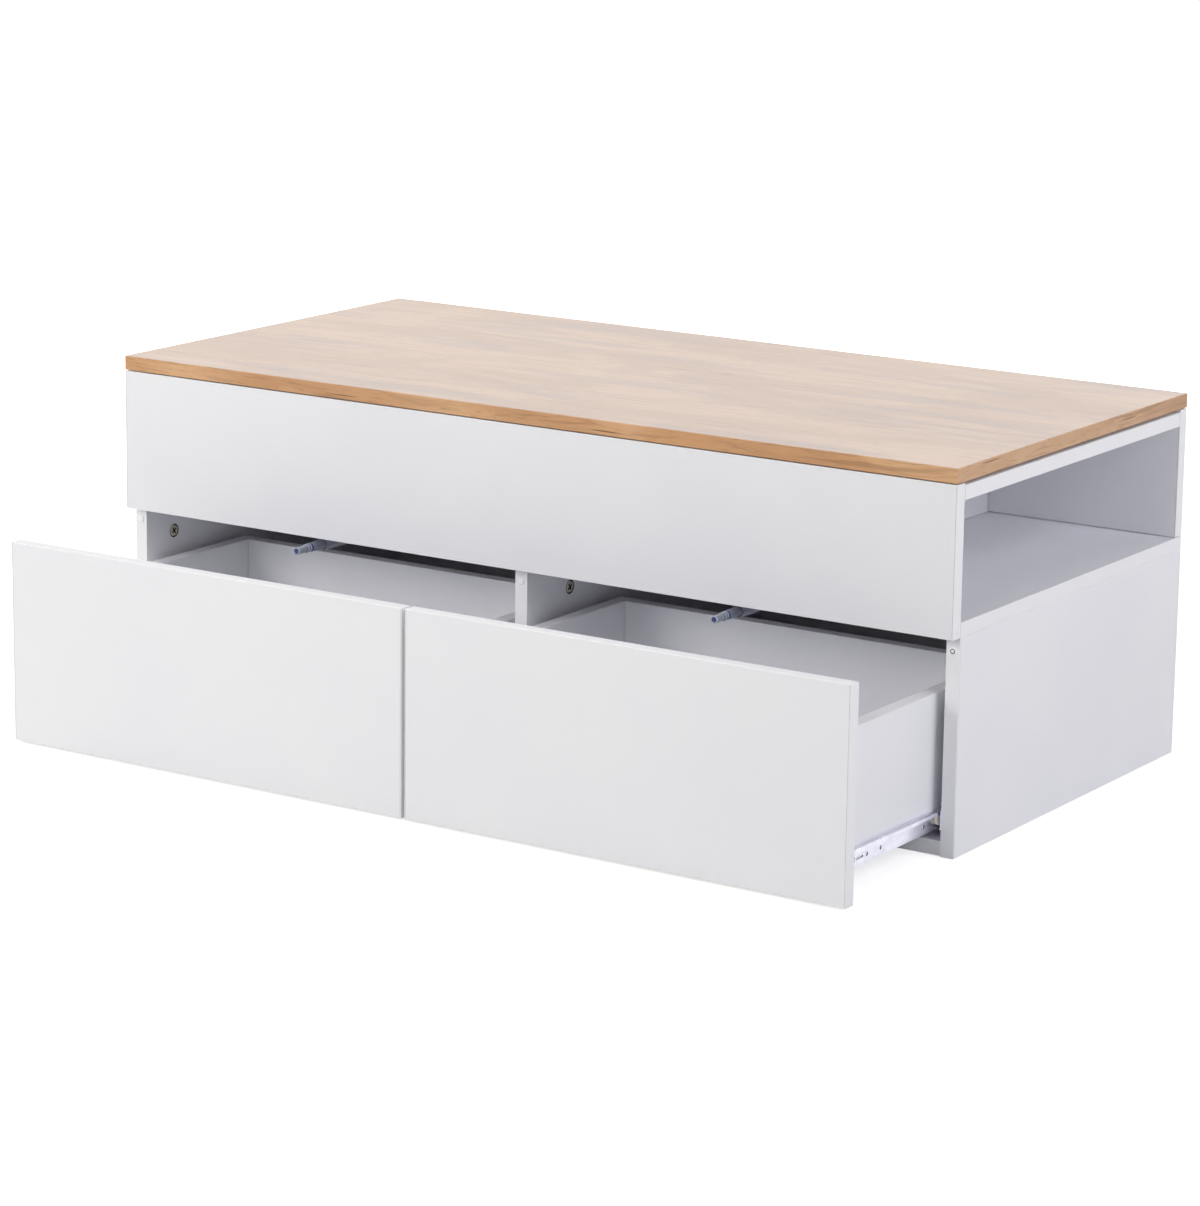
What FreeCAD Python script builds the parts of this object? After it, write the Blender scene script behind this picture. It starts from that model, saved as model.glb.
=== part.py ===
"""Height-adjustable coffee table of melamine board with an oak-effect lift top.

Millimetres, +Z up. +X runs along the table to the right and the two drawers face -Y. The origin is on the
floor under the middle of the carcass. Here the top is down and both drawers stand open by drawer_opening.
"""
import FreeCAD, Part
import math
import os
import re

import Sketcher

SIZES = (
    # Boards of the carcass and the top
    ("length", "1020", "carcass along X"),
    ("depth", "500", "carcass along Y, front panel to back panel"),
    ("board", "15", "thickness of every white board"),
    ("side_height", "221", "floor to the underside of the shelf"),
    ("upper_height", "136.5", "shelf to the upper edges of the upper panels"),
    ("niche_depth", "222", "open end of a niche to its inner wall"),
    ("niche_drop", "2", "niche ceiling below the upper edges of the panels"),
    ("bottom_setback", "3", "bottom board behind the front edges of the panels"),
    ("top_thickness", "15", "oak-effect top"),
    ("bumper_height", "1.2", "clear bumper, between the top and the panels and behind the drawer fronts"),
    ("bumper_diameter", "8", "clear bumper"),
    ("bumper_inset", "60", "bumper under the top, from the end of the table"),
    ("bumper_below_shelf", "14", "bumper behind a drawer front, under the shelf"),
    # Drawers
    ("drawer_opening", "190", "how far the drawers stand open"),
    ("front_reveal", "2", "drawer front to the end of the table"),
    ("front_gap", "4", "between the two drawer fronts"),
    ("front_floor_gap", "2", "under a drawer front"),
    ("front_head_gap", "4", "over a drawer front"),
    ("box_depth", "350", "drawer box and its rails along Y"),
    ("box_height", "138", "drawer sides and back"),
    ("box_lift", "25", "floor to the drawer sides"),
    ("bottom_panel", "3", "thickness of a drawer bottom"),
    ("bottom_rise", "10", "lower edge of the drawer sides to the bottom panel"),
    ("groove_depth", "5", "how far the bottom panel goes into its grooves"),
    ("fit_play", "0.1", "clearance of a screw, bolt, cam or panel in its hole or groove"),
    # Roller slides
    ("slide_gap", "10", "drawer side to carcass"),
    ("slide_rise", "11", "lower edge of the drawer sides to the middle of the rails"),
    ("rail_setback", "14", "cabinet rail behind the front edge of its panel"),
    ("rail_height", "27", "cabinet rail"),
    ("rail_steel", "1.2", "cabinet rail sheet"),
    ("rail_play", "1", "cabinet rail to the drawer side"),
    ("inner_height", "19", "drawer rail, over and under the middle of the cabinet rail"),
    ("inner_steel", "1", "drawer rail sheet"),
    ("inner_reach", "7.2", "drawer rail, out from the drawer side"),
    ("inner_lip", "4.4", "turned-down lip of a drawer rail"),
    ("inner_foot", "12", "foot of a drawer rail under the drawer side"),
    ("hole_rise", "8", "lower edge of the drawer sides to the holes of a drawer rail"),
    ("rail_screw_front", "36", "first rail screw behind the front end of a rail"),
    ("rail_screw_rear", "104", "second rail screw before the rear end of a rail"),
    ("rail_screw_stagger", "16", "screws of the right drawer behind those of the left one"),
    ("slot_width", "4", "spare holes in a drawer rail"),
    ("slot_front", "62", "first spare hole behind the front end of a drawer rail"),
    ("slot_step", "26", "first to second spare hole"),
    ("slot_rear", "172", "third spare hole behind the front end of a drawer rail"),
    ("roller_diameter", "15", "roller"),
    ("roller_width", "4.4", "roller"),
    ("roller_play", "0.2", "roller to the track that it runs on"),
    ("roller_side_play", "0.4", "front roller to the drawer rail's web"),
    ("roller_wall_gap", "1.2", "rear roller to the cabinet rail's web"),
    ("roller_setback", "8.5", "front roller's axis behind the front edge of its panel"),
    ("roller_inset", "10", "rear roller's axis before the rear end of its drawer rail"),
    ("axle_diameter", "4", "journal of a roller"),
    ("axle_shoulder", "7", "shoulder and head that keep a roller on its journal"),
    ("axle_head", "0.7", "height of an axle's head"),
    ("tongue_setback", "1", "tongue of a cabinet rail behind the front edge of its panel"),
    ("tongue_height", "20", "tongue of a cabinet rail, which carries the front roller"),
    # Push latches
    ("latch_outset", "6.8", "plunger's axis from the middle of its drawer towards the end of the table"),
    ("latch_drop", "10", "underside of the shelf to the plunger's axis"),
    ("latch_reach", "40", "plunger beyond its pressed-in place"),
    ("latch_tip_diameter", "8", "slim end of the plunger"),
    ("latch_tip_length", "24", "slim end of the plunger"),
    ("latch_magnet_diameter", "5", "recess in the plunger's end"),
    ("latch_magnet_depth", "1", "recess in the plunger's end"),
    ("latch_shaft_diameter", "10.5", "thick part of the plunger"),
    ("latch_plunger_length", "105", "whole plunger"),
    ("latch_hollow_diameter", "7.4", "spring bore of the plunger"),
    ("latch_hollow_depth", "70", "spring bore of the plunger"),
    ("latch_bore_play", "0.25", "plunger to housing, at the radius"),
    ("latch_wall", "1.5", "housing tube"),
    ("latch_setback", "4", "housing behind the front edges of the panels"),
    ("latch_housing_length", "106", "housing"),
    ("latch_end_wall", "3", "rear end of the housing"),
    ("latch_flange_width", "26", "mounting flange"),
    ("latch_flange_thickness", "2", "mounting flange"),
    ("latch_taper", "24", "narrowing front end of the mounting flange"),
    ("latch_screw_inset", "12", "flange screw from the end of the wide part of the flange"),
    ("latch_wire", "0.8", "spring wire in the latch"),
    ("latch_coil_diameter", "6.2", "latch spring at the middle of its wire"),
    # Lift mechanism
    ("back_clearance", "22", "top bracket to the upper back panel"),
    ("arm_width", "22", "arm"),
    ("arm_plate", "3", "arm"),
    ("arm_rest", "14", "degrees that the lowered arms rise to the rear"),
    ("pivot_back", "100", "front pivot behind the front of the table"),
    ("pivot_height", "54", "front pivot above the shelf"),
    ("pivot_step", "70", "rear pivot behind the front one"),
    ("pivot_drop", "40", "rear pivot below the front one"),
    ("pin_diameter", "8", "pivot pin"),
    ("pin_play", "0.05", "pivot pin in its hole, at the radius"),
    ("open_play", "0.3", "rear arm's upper pin in its bracket, at the radius"),
    ("rivet_diameter", "13", "head of a pivot pin"),
    ("rivet_head", "1.6", "head of a pivot pin"),
    ("lift_gap", "1", "between neighbouring plates of the mechanism"),
    ("base_plate", "2", "base bracket and top bracket sheet"),
    ("cheek_margin", "18", "sheet round a pivot"),
    ("cheek_front", "40", "base bracket in front of the front pivot"),
    ("cheek_back", "170", "base bracket behind the front pivot"),
    ("cheek_toe", "20", "height of the base bracket's low ends"),
    ("base_foot", "40", "base bracket along X, on the shelf"),
    ("flange_width", "30", "top bracket along X, under the top"),
    ("flange_front", "45", "top bracket in front of its front pivot"),
    ("flange_back", "130", "top bracket behind its front pivot"),
    ("bracket_screw_inset", "14", "screw from the edge of a bracket"),
    ("bar_diameter", "16", "cross bar between the front arms"),
    ("bar_wall", "1.5", "cross bar"),
    ("bar_along", "60", "front pivot to the cross bar, along the arm"),
    ("spring_wire", "3", "torsion spring"),
    ("spring_diameter", "26", "torsion spring at the middle of its wire"),
    ("spring_sleeve", "21.5", "sleeve inside the torsion spring"),
    ("spring_leg", "45", "leg of the torsion spring under the arm"),
    ("spring_bend", "5", "bend of the leg's hook"),
    ("spring_seat", "0.3", "end of the torsion spring to the base bracket"),
    # Fasteners
    ("cam_diameter", "15", "cam lock"),
    ("cam_depth", "12.5", "cam lock"),
    ("cam_setback", "34", "cam lock from the edge of its board"),
    ("cam_bolt", "6", "bolt of a cam lock"),
    ("bolt_bite", "11", "bolt in the mating board"),
    ("cam_cross", "8", "cross recess of a cam lock"),
    ("cam_cross_width", "1.6", "cross recess of a cam lock"),
    ("cam_cross_depth", "1.5", "cross recess of a cam lock"),
    ("side_cam_inset", "62", "cam locks of the side panels from the front and the back"),
    ("middle_cam_inset", "94", "cam locks of the partition from the front and the back"),
    ("drawer_cam_spacing", "80", "cam locks of a drawer side, one over the other"),
    ("screw_head", "7", "pan-head or countersunk screw"),
    ("screw_head_height", "2", "pan-head screw"),
    ("screw_shank", "3.5", "screw"),
    ("screw_length", "10", "screw under its head"),
)
TORSION_TURNS = 6
LATCH_TURNS = 20

ALIASES = {alias for alias, value, note in SIZES}
SIDES = (("left", -1), ("right", 1))
TURNS = {
    "+x": FreeCAD.Rotation(FreeCAD.Vector(0, 1, 0), 90),
    "-x": FreeCAD.Rotation(FreeCAD.Vector(0, 1, 0), -90),
    "+y": FreeCAD.Rotation(FreeCAD.Vector(1, 0, 0), -90),
    "-y": FreeCAD.Rotation(FreeCAD.Vector(1, 0, 0), 90),
    "+z": FreeCAD.Rotation(),
    "-z": FreeCAD.Rotation(FreeCAD.Vector(1, 0, 0), 180),
}

# Places that several pieces share, as expressions in the sheet's words
PANEL_FRONT = "(-depth/2+board)"
REAR_FACE = "(depth/2)"
SHELF_TOP = "(side_height+board)"
PANEL_TOP = f"({SHELF_TOP}+upper_height)"
TOP_UNDERSIDE = f"({PANEL_TOP}+bumper_height)"
BAY_WIDTH = "((length-3*board)/2)"
BAY_CENTRE = "((length-board)/4)"
BOX_WIDTH = f"({BAY_WIDTH}-2*slide_gap)"
BOX_FRONT = "(-depth/2-drawer_opening+board)"
BOX_BACK = f"({BOX_FRONT}+box_depth)"
SLIDE_Z = "(box_lift+slide_rise)"
COMPARTMENT_WALL = "(length/2-niche_depth-board)"
FRONT_PIVOT_Y = "(-depth/2+pivot_back)"
FRONT_PIVOT_Z = f"({SHELF_TOP}+pivot_height)"
ARM_Y = "(depth-board-pivot_back-flange_back-back_clearance)"
ARM_Z = f"({ARM_Y}*tan(arm_rest))"
ARM_LENGTH = f"({ARM_Y}/cos(arm_rest))"
# Layers of the lift mechanism, from the compartment's wall inwards
CHEEK_IN = f"({COMPARTMENT_WALL}-base_plate)"
ARM_OUT = f"({CHEEK_IN}-lift_gap)"
ARM_IN = f"({ARM_OUT}-arm_plate)"
BRACKET_OUT = f"({ARM_IN}-lift_gap)"
BRACKET_IN = f"({BRACKET_OUT}-base_plate)"
EAR_OUT = f"({COMPARTMENT_WALL}-base_foot+base_plate)"
EAR_IN = f"({COMPARTMENT_WALL}-base_foot)"

doc = FreeCAD.newDocument("CoffeeTable")
sheet = doc.addObject("Spreadsheet::Sheet", "Sizes")
for row, (alias, value, note) in enumerate(SIZES, start=1):
    sheet.set(f"A{row}", note)
    sheet.set(f"B{row}", value)
    sheet.setAlias(f"B{row}", alias)
doc.recompute()

subparts = []
drillings = {}


# Expressions

def refer(text):
    """An expression in the sheet's words, each word turned into a reference to its cell."""
    return re.sub(r"[a-z_]+", lambda word: f"Sizes.{word[0]}" if word[0] in ALIASES else word[0], text)


def number(text):
    """The present value of an expression in the sheet's words."""
    return float(sheet.evalExpression(refer(text)))


def shift(point, way, distance):
    """A point moved along a signed axis such as +x or -y."""
    axis = "xyz".index(way[1])
    moved = list(point)
    moved[axis] = f"({point[axis]}{way[0]}({distance}))"
    return tuple(moved)


def back(way):
    """The signed axis that points the other way."""
    return ("-" if way[0] == "+" else "+") + way[1]


def outwards(side):
    """The signed axis from the middle of the table to its left or right end."""
    return "+x" if side > 0 else "-x"


def span(side, near, far):
    """The low X of a stretch from near to far, counted from the middle to the left or right."""
    return near if side > 0 else f"(-({far}))"


# Solids

def new(kind, label):
    """A document object with its label."""
    thing = doc.addObject(kind, label)
    thing.Label = label
    return thing


def put(thing, point):
    """Bind an object's place to the sheet."""
    for axis, text in zip("xyz", point):
        thing.setExpression(f"Placement.Base.{axis}", refer(text))


def box(label, corner, size):
    """A block from its low corner."""
    block = new("Part::Box", label)
    for edge, text in zip(("Length", "Width", "Height"), size):
        block.setExpression(edge, refer(text))
    put(block, corner)
    return block


def block_about(label, centre, size):
    """A block about its centre."""
    return box(label, tuple(f"({c}-({s})/2)" for c, s in zip(centre, size)), size)


def rod(label, start, way, radius, length):
    """A cylinder from the centre of its first end."""
    bar = new("Part::Cylinder", label)
    bar.Placement = FreeCAD.Placement(FreeCAD.Vector(), TURNS[way])
    bar.setExpression("Radius", refer(radius))
    bar.setExpression("Height", refer(length))
    put(bar, start)
    return bar


def taper(label, start, way, radius, end_radius, length):
    """A cone's frustum from the centre of its first end."""
    bar = new("Part::Cone", label)
    bar.Placement = FreeCAD.Placement(FreeCAD.Vector(), TURNS[way])
    bar.setExpression("Radius1", refer(radius))
    bar.setExpression("Radius2", refer(end_radius))
    bar.setExpression("Height", refer(length))
    put(bar, start)
    return bar


def join(label, solids):
    """Solids made one."""
    union = new("Part::MultiFuse", label)
    union.Shapes = solids
    return union


def cut(label, base, tools):
    """A solid with tools taken out of it."""
    rest = new("Part::Cut", label)
    rest.Base = base
    rest.Tool = tools[0] if len(tools) == 1 else join(f"{label}_tools", tools)
    return rest


def group(label, solids):
    """Like pieces that share one sub-part."""
    bundle = new("Part::Compound", label)
    bundle.Links = solids
    subparts.append(bundle)


def outline(body, role, name, corners, circles=()):
    """A closed sketch whose corners and circles are all tied to the sheet."""
    sketch = body.newObject("Sketcher::SketchObject", name)
    plane = next(feature for feature in body.Origin.OriginFeatures if feature.Role == role)
    sketch.AttachmentSupport = [(plane, "")]
    sketch.MapMode = "FlatFace"

    def tie(geometry, point, across, up):
        for kind, text in (("DistanceX", across), ("DistanceY", up)):
            index = sketch.addConstraint(Sketcher.Constraint(kind, -1, 1, geometry, point, number(text)))
            sketch.setExpression(f"Constraints[{index}]", refer(text))

    points = [FreeCAD.Vector(number(across), number(up), 0) for across, up in corners]
    for start, end in zip(points, points[1:] + points[:1]):
        sketch.addGeometry(Part.LineSegment(start, end), False)
    for line, (across, up) in enumerate(corners):
        sketch.addConstraint(Sketcher.Constraint("Coincident", line, 2, (line + 1) % len(corners), 1))
        tie(line, 1, across, up)
    for across, up, radius in circles:
        centre = FreeCAD.Vector(number(across), number(up), 0)
        ring = sketch.addGeometry(Part.Circle(centre, FreeCAD.Vector(0, 0, 1), number(radius)), False)
        tie(ring, 3, across, up)
        index = sketch.addConstraint(Sketcher.Constraint("Radius", ring, number(radius)))
        sketch.setExpression(f"Constraints[{index}]", refer(radius))
    return sketch


def plate(label, role, place, corners, circles, thickness):
    """A flat sheet cut to an outline with round holes."""
    body = new("PartDesign::Body", label)
    pad = body.newObject("PartDesign::Pad", f"{label}_sheet")
    pad.Profile = outline(body, role, f"{label}_outline", corners, circles)
    pad.setExpression("Length", refer(thickness))
    body.Tip = pad
    put(body, place)
    return body


def turned(label, place, corners):
    """A solid turned about the Y axis through its place."""
    body = new("PartDesign::Body", label)
    half = outline(body, "XY_Plane", f"{label}_half", corners)
    spin = body.newObject("PartDesign::Revolution", f"{label}_turned")
    spin.Profile = half
    spin.ReferenceAxis = (half, ["V_Axis"])
    spin.Angle = 360
    body.Tip = spin
    put(body, place)
    return body


def strip(label, place, length, width, thickness, circles):
    """A flat bar with round ends, from the centre of its first end, turned to the arms' resting angle."""
    body = new("PartDesign::Body", label)
    sketch = outline(body, "YZ_Plane", f"{label}_holes", (), circles)
    reach, radius = number(length), number(width) / 2
    centre, normal = FreeCAD.Vector, FreeCAD.Vector(0, 0, 1)
    first = len(circles)
    sketch.addGeometry(Part.LineSegment(centre(0, radius, 0), centre(reach, radius, 0)), False)
    far_end = Part.Circle(centre(reach, 0, 0), normal, radius)
    sketch.addGeometry(Part.ArcOfCircle(far_end, -math.pi / 2, math.pi / 2), False)
    sketch.addGeometry(Part.LineSegment(centre(reach, -radius, 0), centre(0, -radius, 0)), False)
    near_end = Part.Circle(centre(0, 0, 0), normal, radius)
    sketch.addGeometry(Part.ArcOfCircle(near_end, math.pi / 2, 3 * math.pi / 2), False)
    top, far, under, near = range(first, first + 4)
    for one, end, other, start in ((top, 2, far, 2), (far, 1, under, 1), (under, 2, near, 2), (near, 1, top, 1)):
        sketch.addConstraint(Sketcher.Constraint("Tangent", one, end, other, start))
    sketch.addConstraint(Sketcher.Constraint("Coincident", near, 3, -1, 1))
    sketch.addConstraint(Sketcher.Constraint("Horizontal", top))
    for constraint, text in (
        (Sketcher.Constraint("Radius", near, radius), f"{width}/2"),
        (Sketcher.Constraint("DistanceX", near, 3, far, 3, reach), length),
    ):
        index = sketch.addConstraint(constraint)
        sketch.setExpression(f"Constraints[{index}]", refer(text))
    pad = body.newObject("PartDesign::Pad", f"{label}_sheet")
    pad.Profile = sketch
    pad.setExpression("Length", refer(thickness))
    body.Tip = pad
    body.Placement = FreeCAD.Placement(FreeCAD.Vector(), FreeCAD.Rotation(FreeCAD.Vector(1, 0, 0), 1))
    body.setExpression("Placement.Rotation.Angle", refer("arm_rest"))
    put(body, place)
    return body


# Fasteners

def drill(label, tool):
    """Keep a hole for the board or rail of that label, which is made later."""
    drillings.setdefault(label, []).append(tool)


def drilled(label, blank):
    """The blank with the holes kept for it, as a finished sub-part."""
    blank.Label = f"{label}_blank"
    subparts.append(cut(label, blank, drillings[label]))


def board(label, corner, size):
    """A flat board, with the holes kept for it."""
    if label in drillings:
        drilled(label, box(f"{label}_blank", corner, size))
    else:
        subparts.append(box(label, corner, size))


def cam_lock(label, face, sink, pull, holder, mate):
    """A cam sunk in the face of one board, and the bolt by which it pulls the next board on."""
    disc = rod(f"{label}_disc", face, sink, "cam_diameter/2", "cam_depth")
    slots = [
        block_about(f"{label}_slot", face, ("2*cam_cross_depth", "cam_cross", "cam_cross_width")),
        block_about(f"{label}_cross", face, ("2*cam_cross_depth", "cam_cross_width", "cam_cross")),
    ]
    core = shift(face, sink, "board/2")
    bolt_length = "cam_setback-cam_diameter/2+bolt_bite"
    bolt = rod(f"{label}_bolt", shift(core, pull, "cam_diameter/2"), pull, "cam_bolt/2", bolt_length)
    drill(holder, rod(f"{label}_pocket", face, sink, "cam_diameter/2+fit_play", "cam_depth"))
    drill(holder, rod(f"{label}_bore", core, pull, "cam_bolt/2+fit_play", "cam_setback"))
    drill(mate, rod(f"{label}_bite", shift(core, pull, "cam_setback"), pull, "cam_bolt/2+fit_play", "bolt_bite"))
    return [cut(f"{label}_cam", disc, slots), bolt]


def screw(label, seat, sink, sheet_metal, through, holder, flush=False):
    """A pan-head or flush countersunk screw through a sheet-metal piece and into a board."""
    if flush:
        head = taper(f"{label}_head", seat, sink, "screw_head/2", "screw_shank/2", sheet_metal)
        wide, narrow = "screw_head/2+fit_play", "screw_shank/2+fit_play"
        drill(through, taper(f"{label}_hole", seat, sink, wide, narrow, sheet_metal))
    else:
        head = rod(f"{label}_head", seat, back(sink), "screw_head/2", "screw_head_height")
        drill(through, rod(f"{label}_hole", seat, sink, "screw_shank/2+fit_play", sheet_metal))
    shank = rod(f"{label}_shank", seat, sink, "screw_shank/2", "screw_length")
    under = shift(seat, sink, sheet_metal)
    drill(holder, rod(f"{label}_pilot", under, sink, "screw_shank/2+fit_play", f"screw_length-{sheet_metal}"))
    return join(label, [head, shank])


def carcass_cam_locks():
    """Cam locks that hold the shelf on the side panels and the partition."""
    locks = []
    height = "(side_height-cam_setback)"
    for end, along in (("front", -1), ("rear", 1)):
        for name, side in SIDES:
            face = (f"({side}*(length/2-board))", f"({along}*(depth/2-side_cam_inset))", height)
            panel = f"side_panel_{name}"
            locks += cam_lock(f"{panel}_{end}", face, outwards(side), "+z", panel, "shelf_board")
        face = ("(board/2)", f"({along}*(depth/2-middle_cam_inset))", height)
        locks += cam_lock(f"partition_{end}", face, "-x", "+z", "partition", "shelf_board")
    group("cam_locks", locks)


def bumpers():
    """Clear bumpers on the front edges behind the drawer fronts, and under the top."""
    dots = []
    height = "(side_height-bumper_below_shelf)"
    for name, middle in (("left", "(board/2-length/2)"), ("middle", "0"), ("right", "(length/2-board/2)")):
        spot = (middle, PANEL_FRONT, height)
        dots.append(rod(f"bumper_edge_{name}", spot, "-y", "bumper_diameter/2", "bumper_height"))
    for end, along in (("front", -1), ("rear", 1)):
        for name, side in SIDES:
            spot = (f"({side}*(length/2-bumper_inset))", f"({along}*(depth/2-board/2))", PANEL_TOP)
            dots.append(rod(f"bumper_top_{end}_{name}", spot, "+z", "bumper_diameter/2", "bumper_height"))
    group("bumpers", dots)


# Drawer slides

def channel(label, wall, way, depth, front, middle_z, height, steel):
    """A rail of C section whose web lies on a wall and whose lips point along way."""
    low = wall if way == "+x" else shift(wall, "-x", depth)
    size = (depth, "box_depth", height)
    corner = (low[0], front, f"({middle_z}-({height})/2)")
    hollow = shift(shift(corner, way, steel), "+z", steel)
    inside = (depth, "box_depth", f"({height}-2*{steel})")
    return cut(label, box(f"{label}_bar", corner, size), [box(f"{label}_hollow", hollow, inside)])


def low_side(face, way, near, far):
    """The low X of a stretch from near to far, counted from a face along way."""
    return shift(face, way, near if way == "+x" else far)[0]


def roller(label, hub, out):
    """A roller from the middle of its rail-side face, hollowed for the head of its axle."""
    wheel = rod(f"{label}_wheel", hub, out, "roller_diameter/2", "roller_width")
    bore = rod(f"{label}_bore", hub, out, "axle_diameter/2+fit_play", "roller_width")
    sink = shift(hub, out, "roller_width-axle_head-fit_play")
    recess = rod(f"{label}_recess", sink, out, "axle_shoulder/2+5*fit_play", "axle_head+fit_play")
    return cut(label, wheel, [bore, recess])


def axle(label, hub, out, reach):
    """Shoulder, journal and head of a roller, riveted in a rail whose back lies reach behind the roller."""
    foot = shift(hub, back(out), reach)
    head = shift(hub, out, "roller_width-axle_head")
    return [
        rod(f"{label}_shoulder", foot, out, "axle_shoulder/2", f"{reach}-fit_play"),
        rod(f"{label}_journal", foot, out, "axle_diameter/2", f"{reach}+roller_width"),
        rod(f"{label}_head", head, out, "axle_shoulder/2", "axle_head"),
    ]


def track(label, flank, to_wall):
    """The sheet of a drawer rail: foot under the drawer side, web on it, and lipped flange over the front roller."""
    top = f"({SLIDE_Z}+inner_height/2)"
    under = "(box_lift-inner_steel)"

    def sheet_part(name, near, far, low_z, height):
        corner = (low_side(flank, to_wall, near, far), BOX_FRONT, low_z)
        return box(f"{label}_{name}", corner, (f"({far}-({near}))", "box_depth", height))

    return [
        sheet_part("web", "0", "inner_steel", under, f"({top}-{under})"),
        sheet_part("flange", "0", "inner_reach", f"({top}-inner_steel)", "inner_steel"),
        sheet_part("lip", "inner_reach-inner_steel", "inner_reach", f"({top}-inner_lip)", "inner_lip"),
        sheet_part("foot", "-inner_foot", "inner_steel", under, "inner_steel"),
    ]


def slides(drawer, bay):
    """Both roller slides of one drawer. Returns the screws of the cabinet rails."""
    carcass_screws, drawer_screws, front_rollers, rear_rollers = [], [], [], []
    stagger = "0" if bay < 0 else "rail_screw_stagger"
    for name, hand in SIDES:
        tag = f"{drawer}_{name}"
        to_wall = outwards(hand)
        to_drawer = back(to_wall)
        wall = (f"({bay}*{BAY_CENTRE}+{hand}*{BAY_WIDTH}/2)", "0", "0")
        flank = shift(wall, to_drawer, "slide_gap")
        rail_front = f"({PANEL_FRONT}+rail_setback)"
        panel = "partition" if bay * hand < 0 else f"side_panel_{drawer}"

        rail = f"{drawer}_bay_{name}_rail"
        reach = "(slide_gap-inner_steel-roller_side_play-roller_width)"
        axis_z = f"({SLIDE_Z}+inner_height/2-inner_steel-roller_play-roller_diameter/2)"
        hub = (shift(wall, to_drawer, reach)[0], f"({PANEL_FRONT}+roller_setback)", axis_z)
        front_rollers.append(roller(f"{tag}_front_roller", hub, to_drawer))
        depth = "(slide_gap-rail_play)"
        section = ("rail_height", "rail_steel")
        pieces = [channel(f"{rail}_channel", wall, to_drawer, depth, rail_front, SLIDE_Z, *section)]
        low = (low_side(wall, to_drawer, "0", "rail_steel"), f"({PANEL_FRONT}+tongue_setback)", f"({axis_z}-tongue_height/2)")
        pieces.append(box(f"{rail}_tongue", low, ("rail_steel", "(rail_setback-tongue_setback+rail_steel)", "tongue_height")))
        cabinet_rail = join(f"{rail}_blank", pieces + axle(f"{rail}_axle", hub, to_drawer, reach))
        for place in ("rail_screw_front", "box_depth-rail_screw_rear"):
            seat = (shift(wall, to_drawer, "rail_steel")[0], f"({rail_front}+{place}+{stagger})", SLIDE_Z)
            count = len(carcass_screws) + 1
            label = f"{tag}_cabinet_screw_{count}"
            carcass_screws.append(screw(label, seat, to_wall, "rail_steel", rail, panel, flush=True))
        drilled(rail, cabinet_rail)

        rail = f"{drawer}_drawer_{name}_rail"
        reach = "(slide_gap-rail_steel-roller_wall_gap-roller_width)"
        axis_z = f"({SLIDE_Z}-rail_height/2+rail_steel+roller_play+roller_diameter/2)"
        hub = (shift(flank, to_wall, reach)[0], f"({BOX_BACK}-roller_inset)", axis_z)
        rear_rollers.append(roller(f"{tag}_rear_roller", hub, to_wall))
        pieces = track(rail, flank, to_wall) + axle(f"{rail}_axle", hub, to_wall, reach)
        drawer_rail = join(f"{rail}_blank", pieces)
        hole_z = "(box_lift+hole_rise)"
        for place in ("rail_screw_front", "box_depth-rail_screw_rear"):
            seat = (shift(flank, to_wall, "inner_steel")[0], f"({BOX_FRONT}+{place})", hole_z)
            count = len(drawer_screws) + 1
            label, holder = f"{tag}_drawer_screw_{count}", f"{drawer}_drawer_{name}_side"
            drawer_screws.append(screw(label, seat, to_drawer, "inner_steel", rail, holder, flush=True))
        for count, place in enumerate(("slot_front", "slot_front+slot_step", "slot_rear")):
            start = (flank[0], f"({BOX_FRONT}+{place})", hole_z)
            drill(rail, rod(f"{rail}_spare_{count}", start, to_wall, "slot_width/2", "inner_steel"))
        drilled(rail, drawer_rail)
    group(f"{drawer}_drawer_rail_screws", drawer_screws)
    group(f"{drawer}_front_rollers", front_rollers)
    group(f"{drawer}_rear_rollers", rear_rollers)
    return carcass_screws


# Drawers

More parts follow.
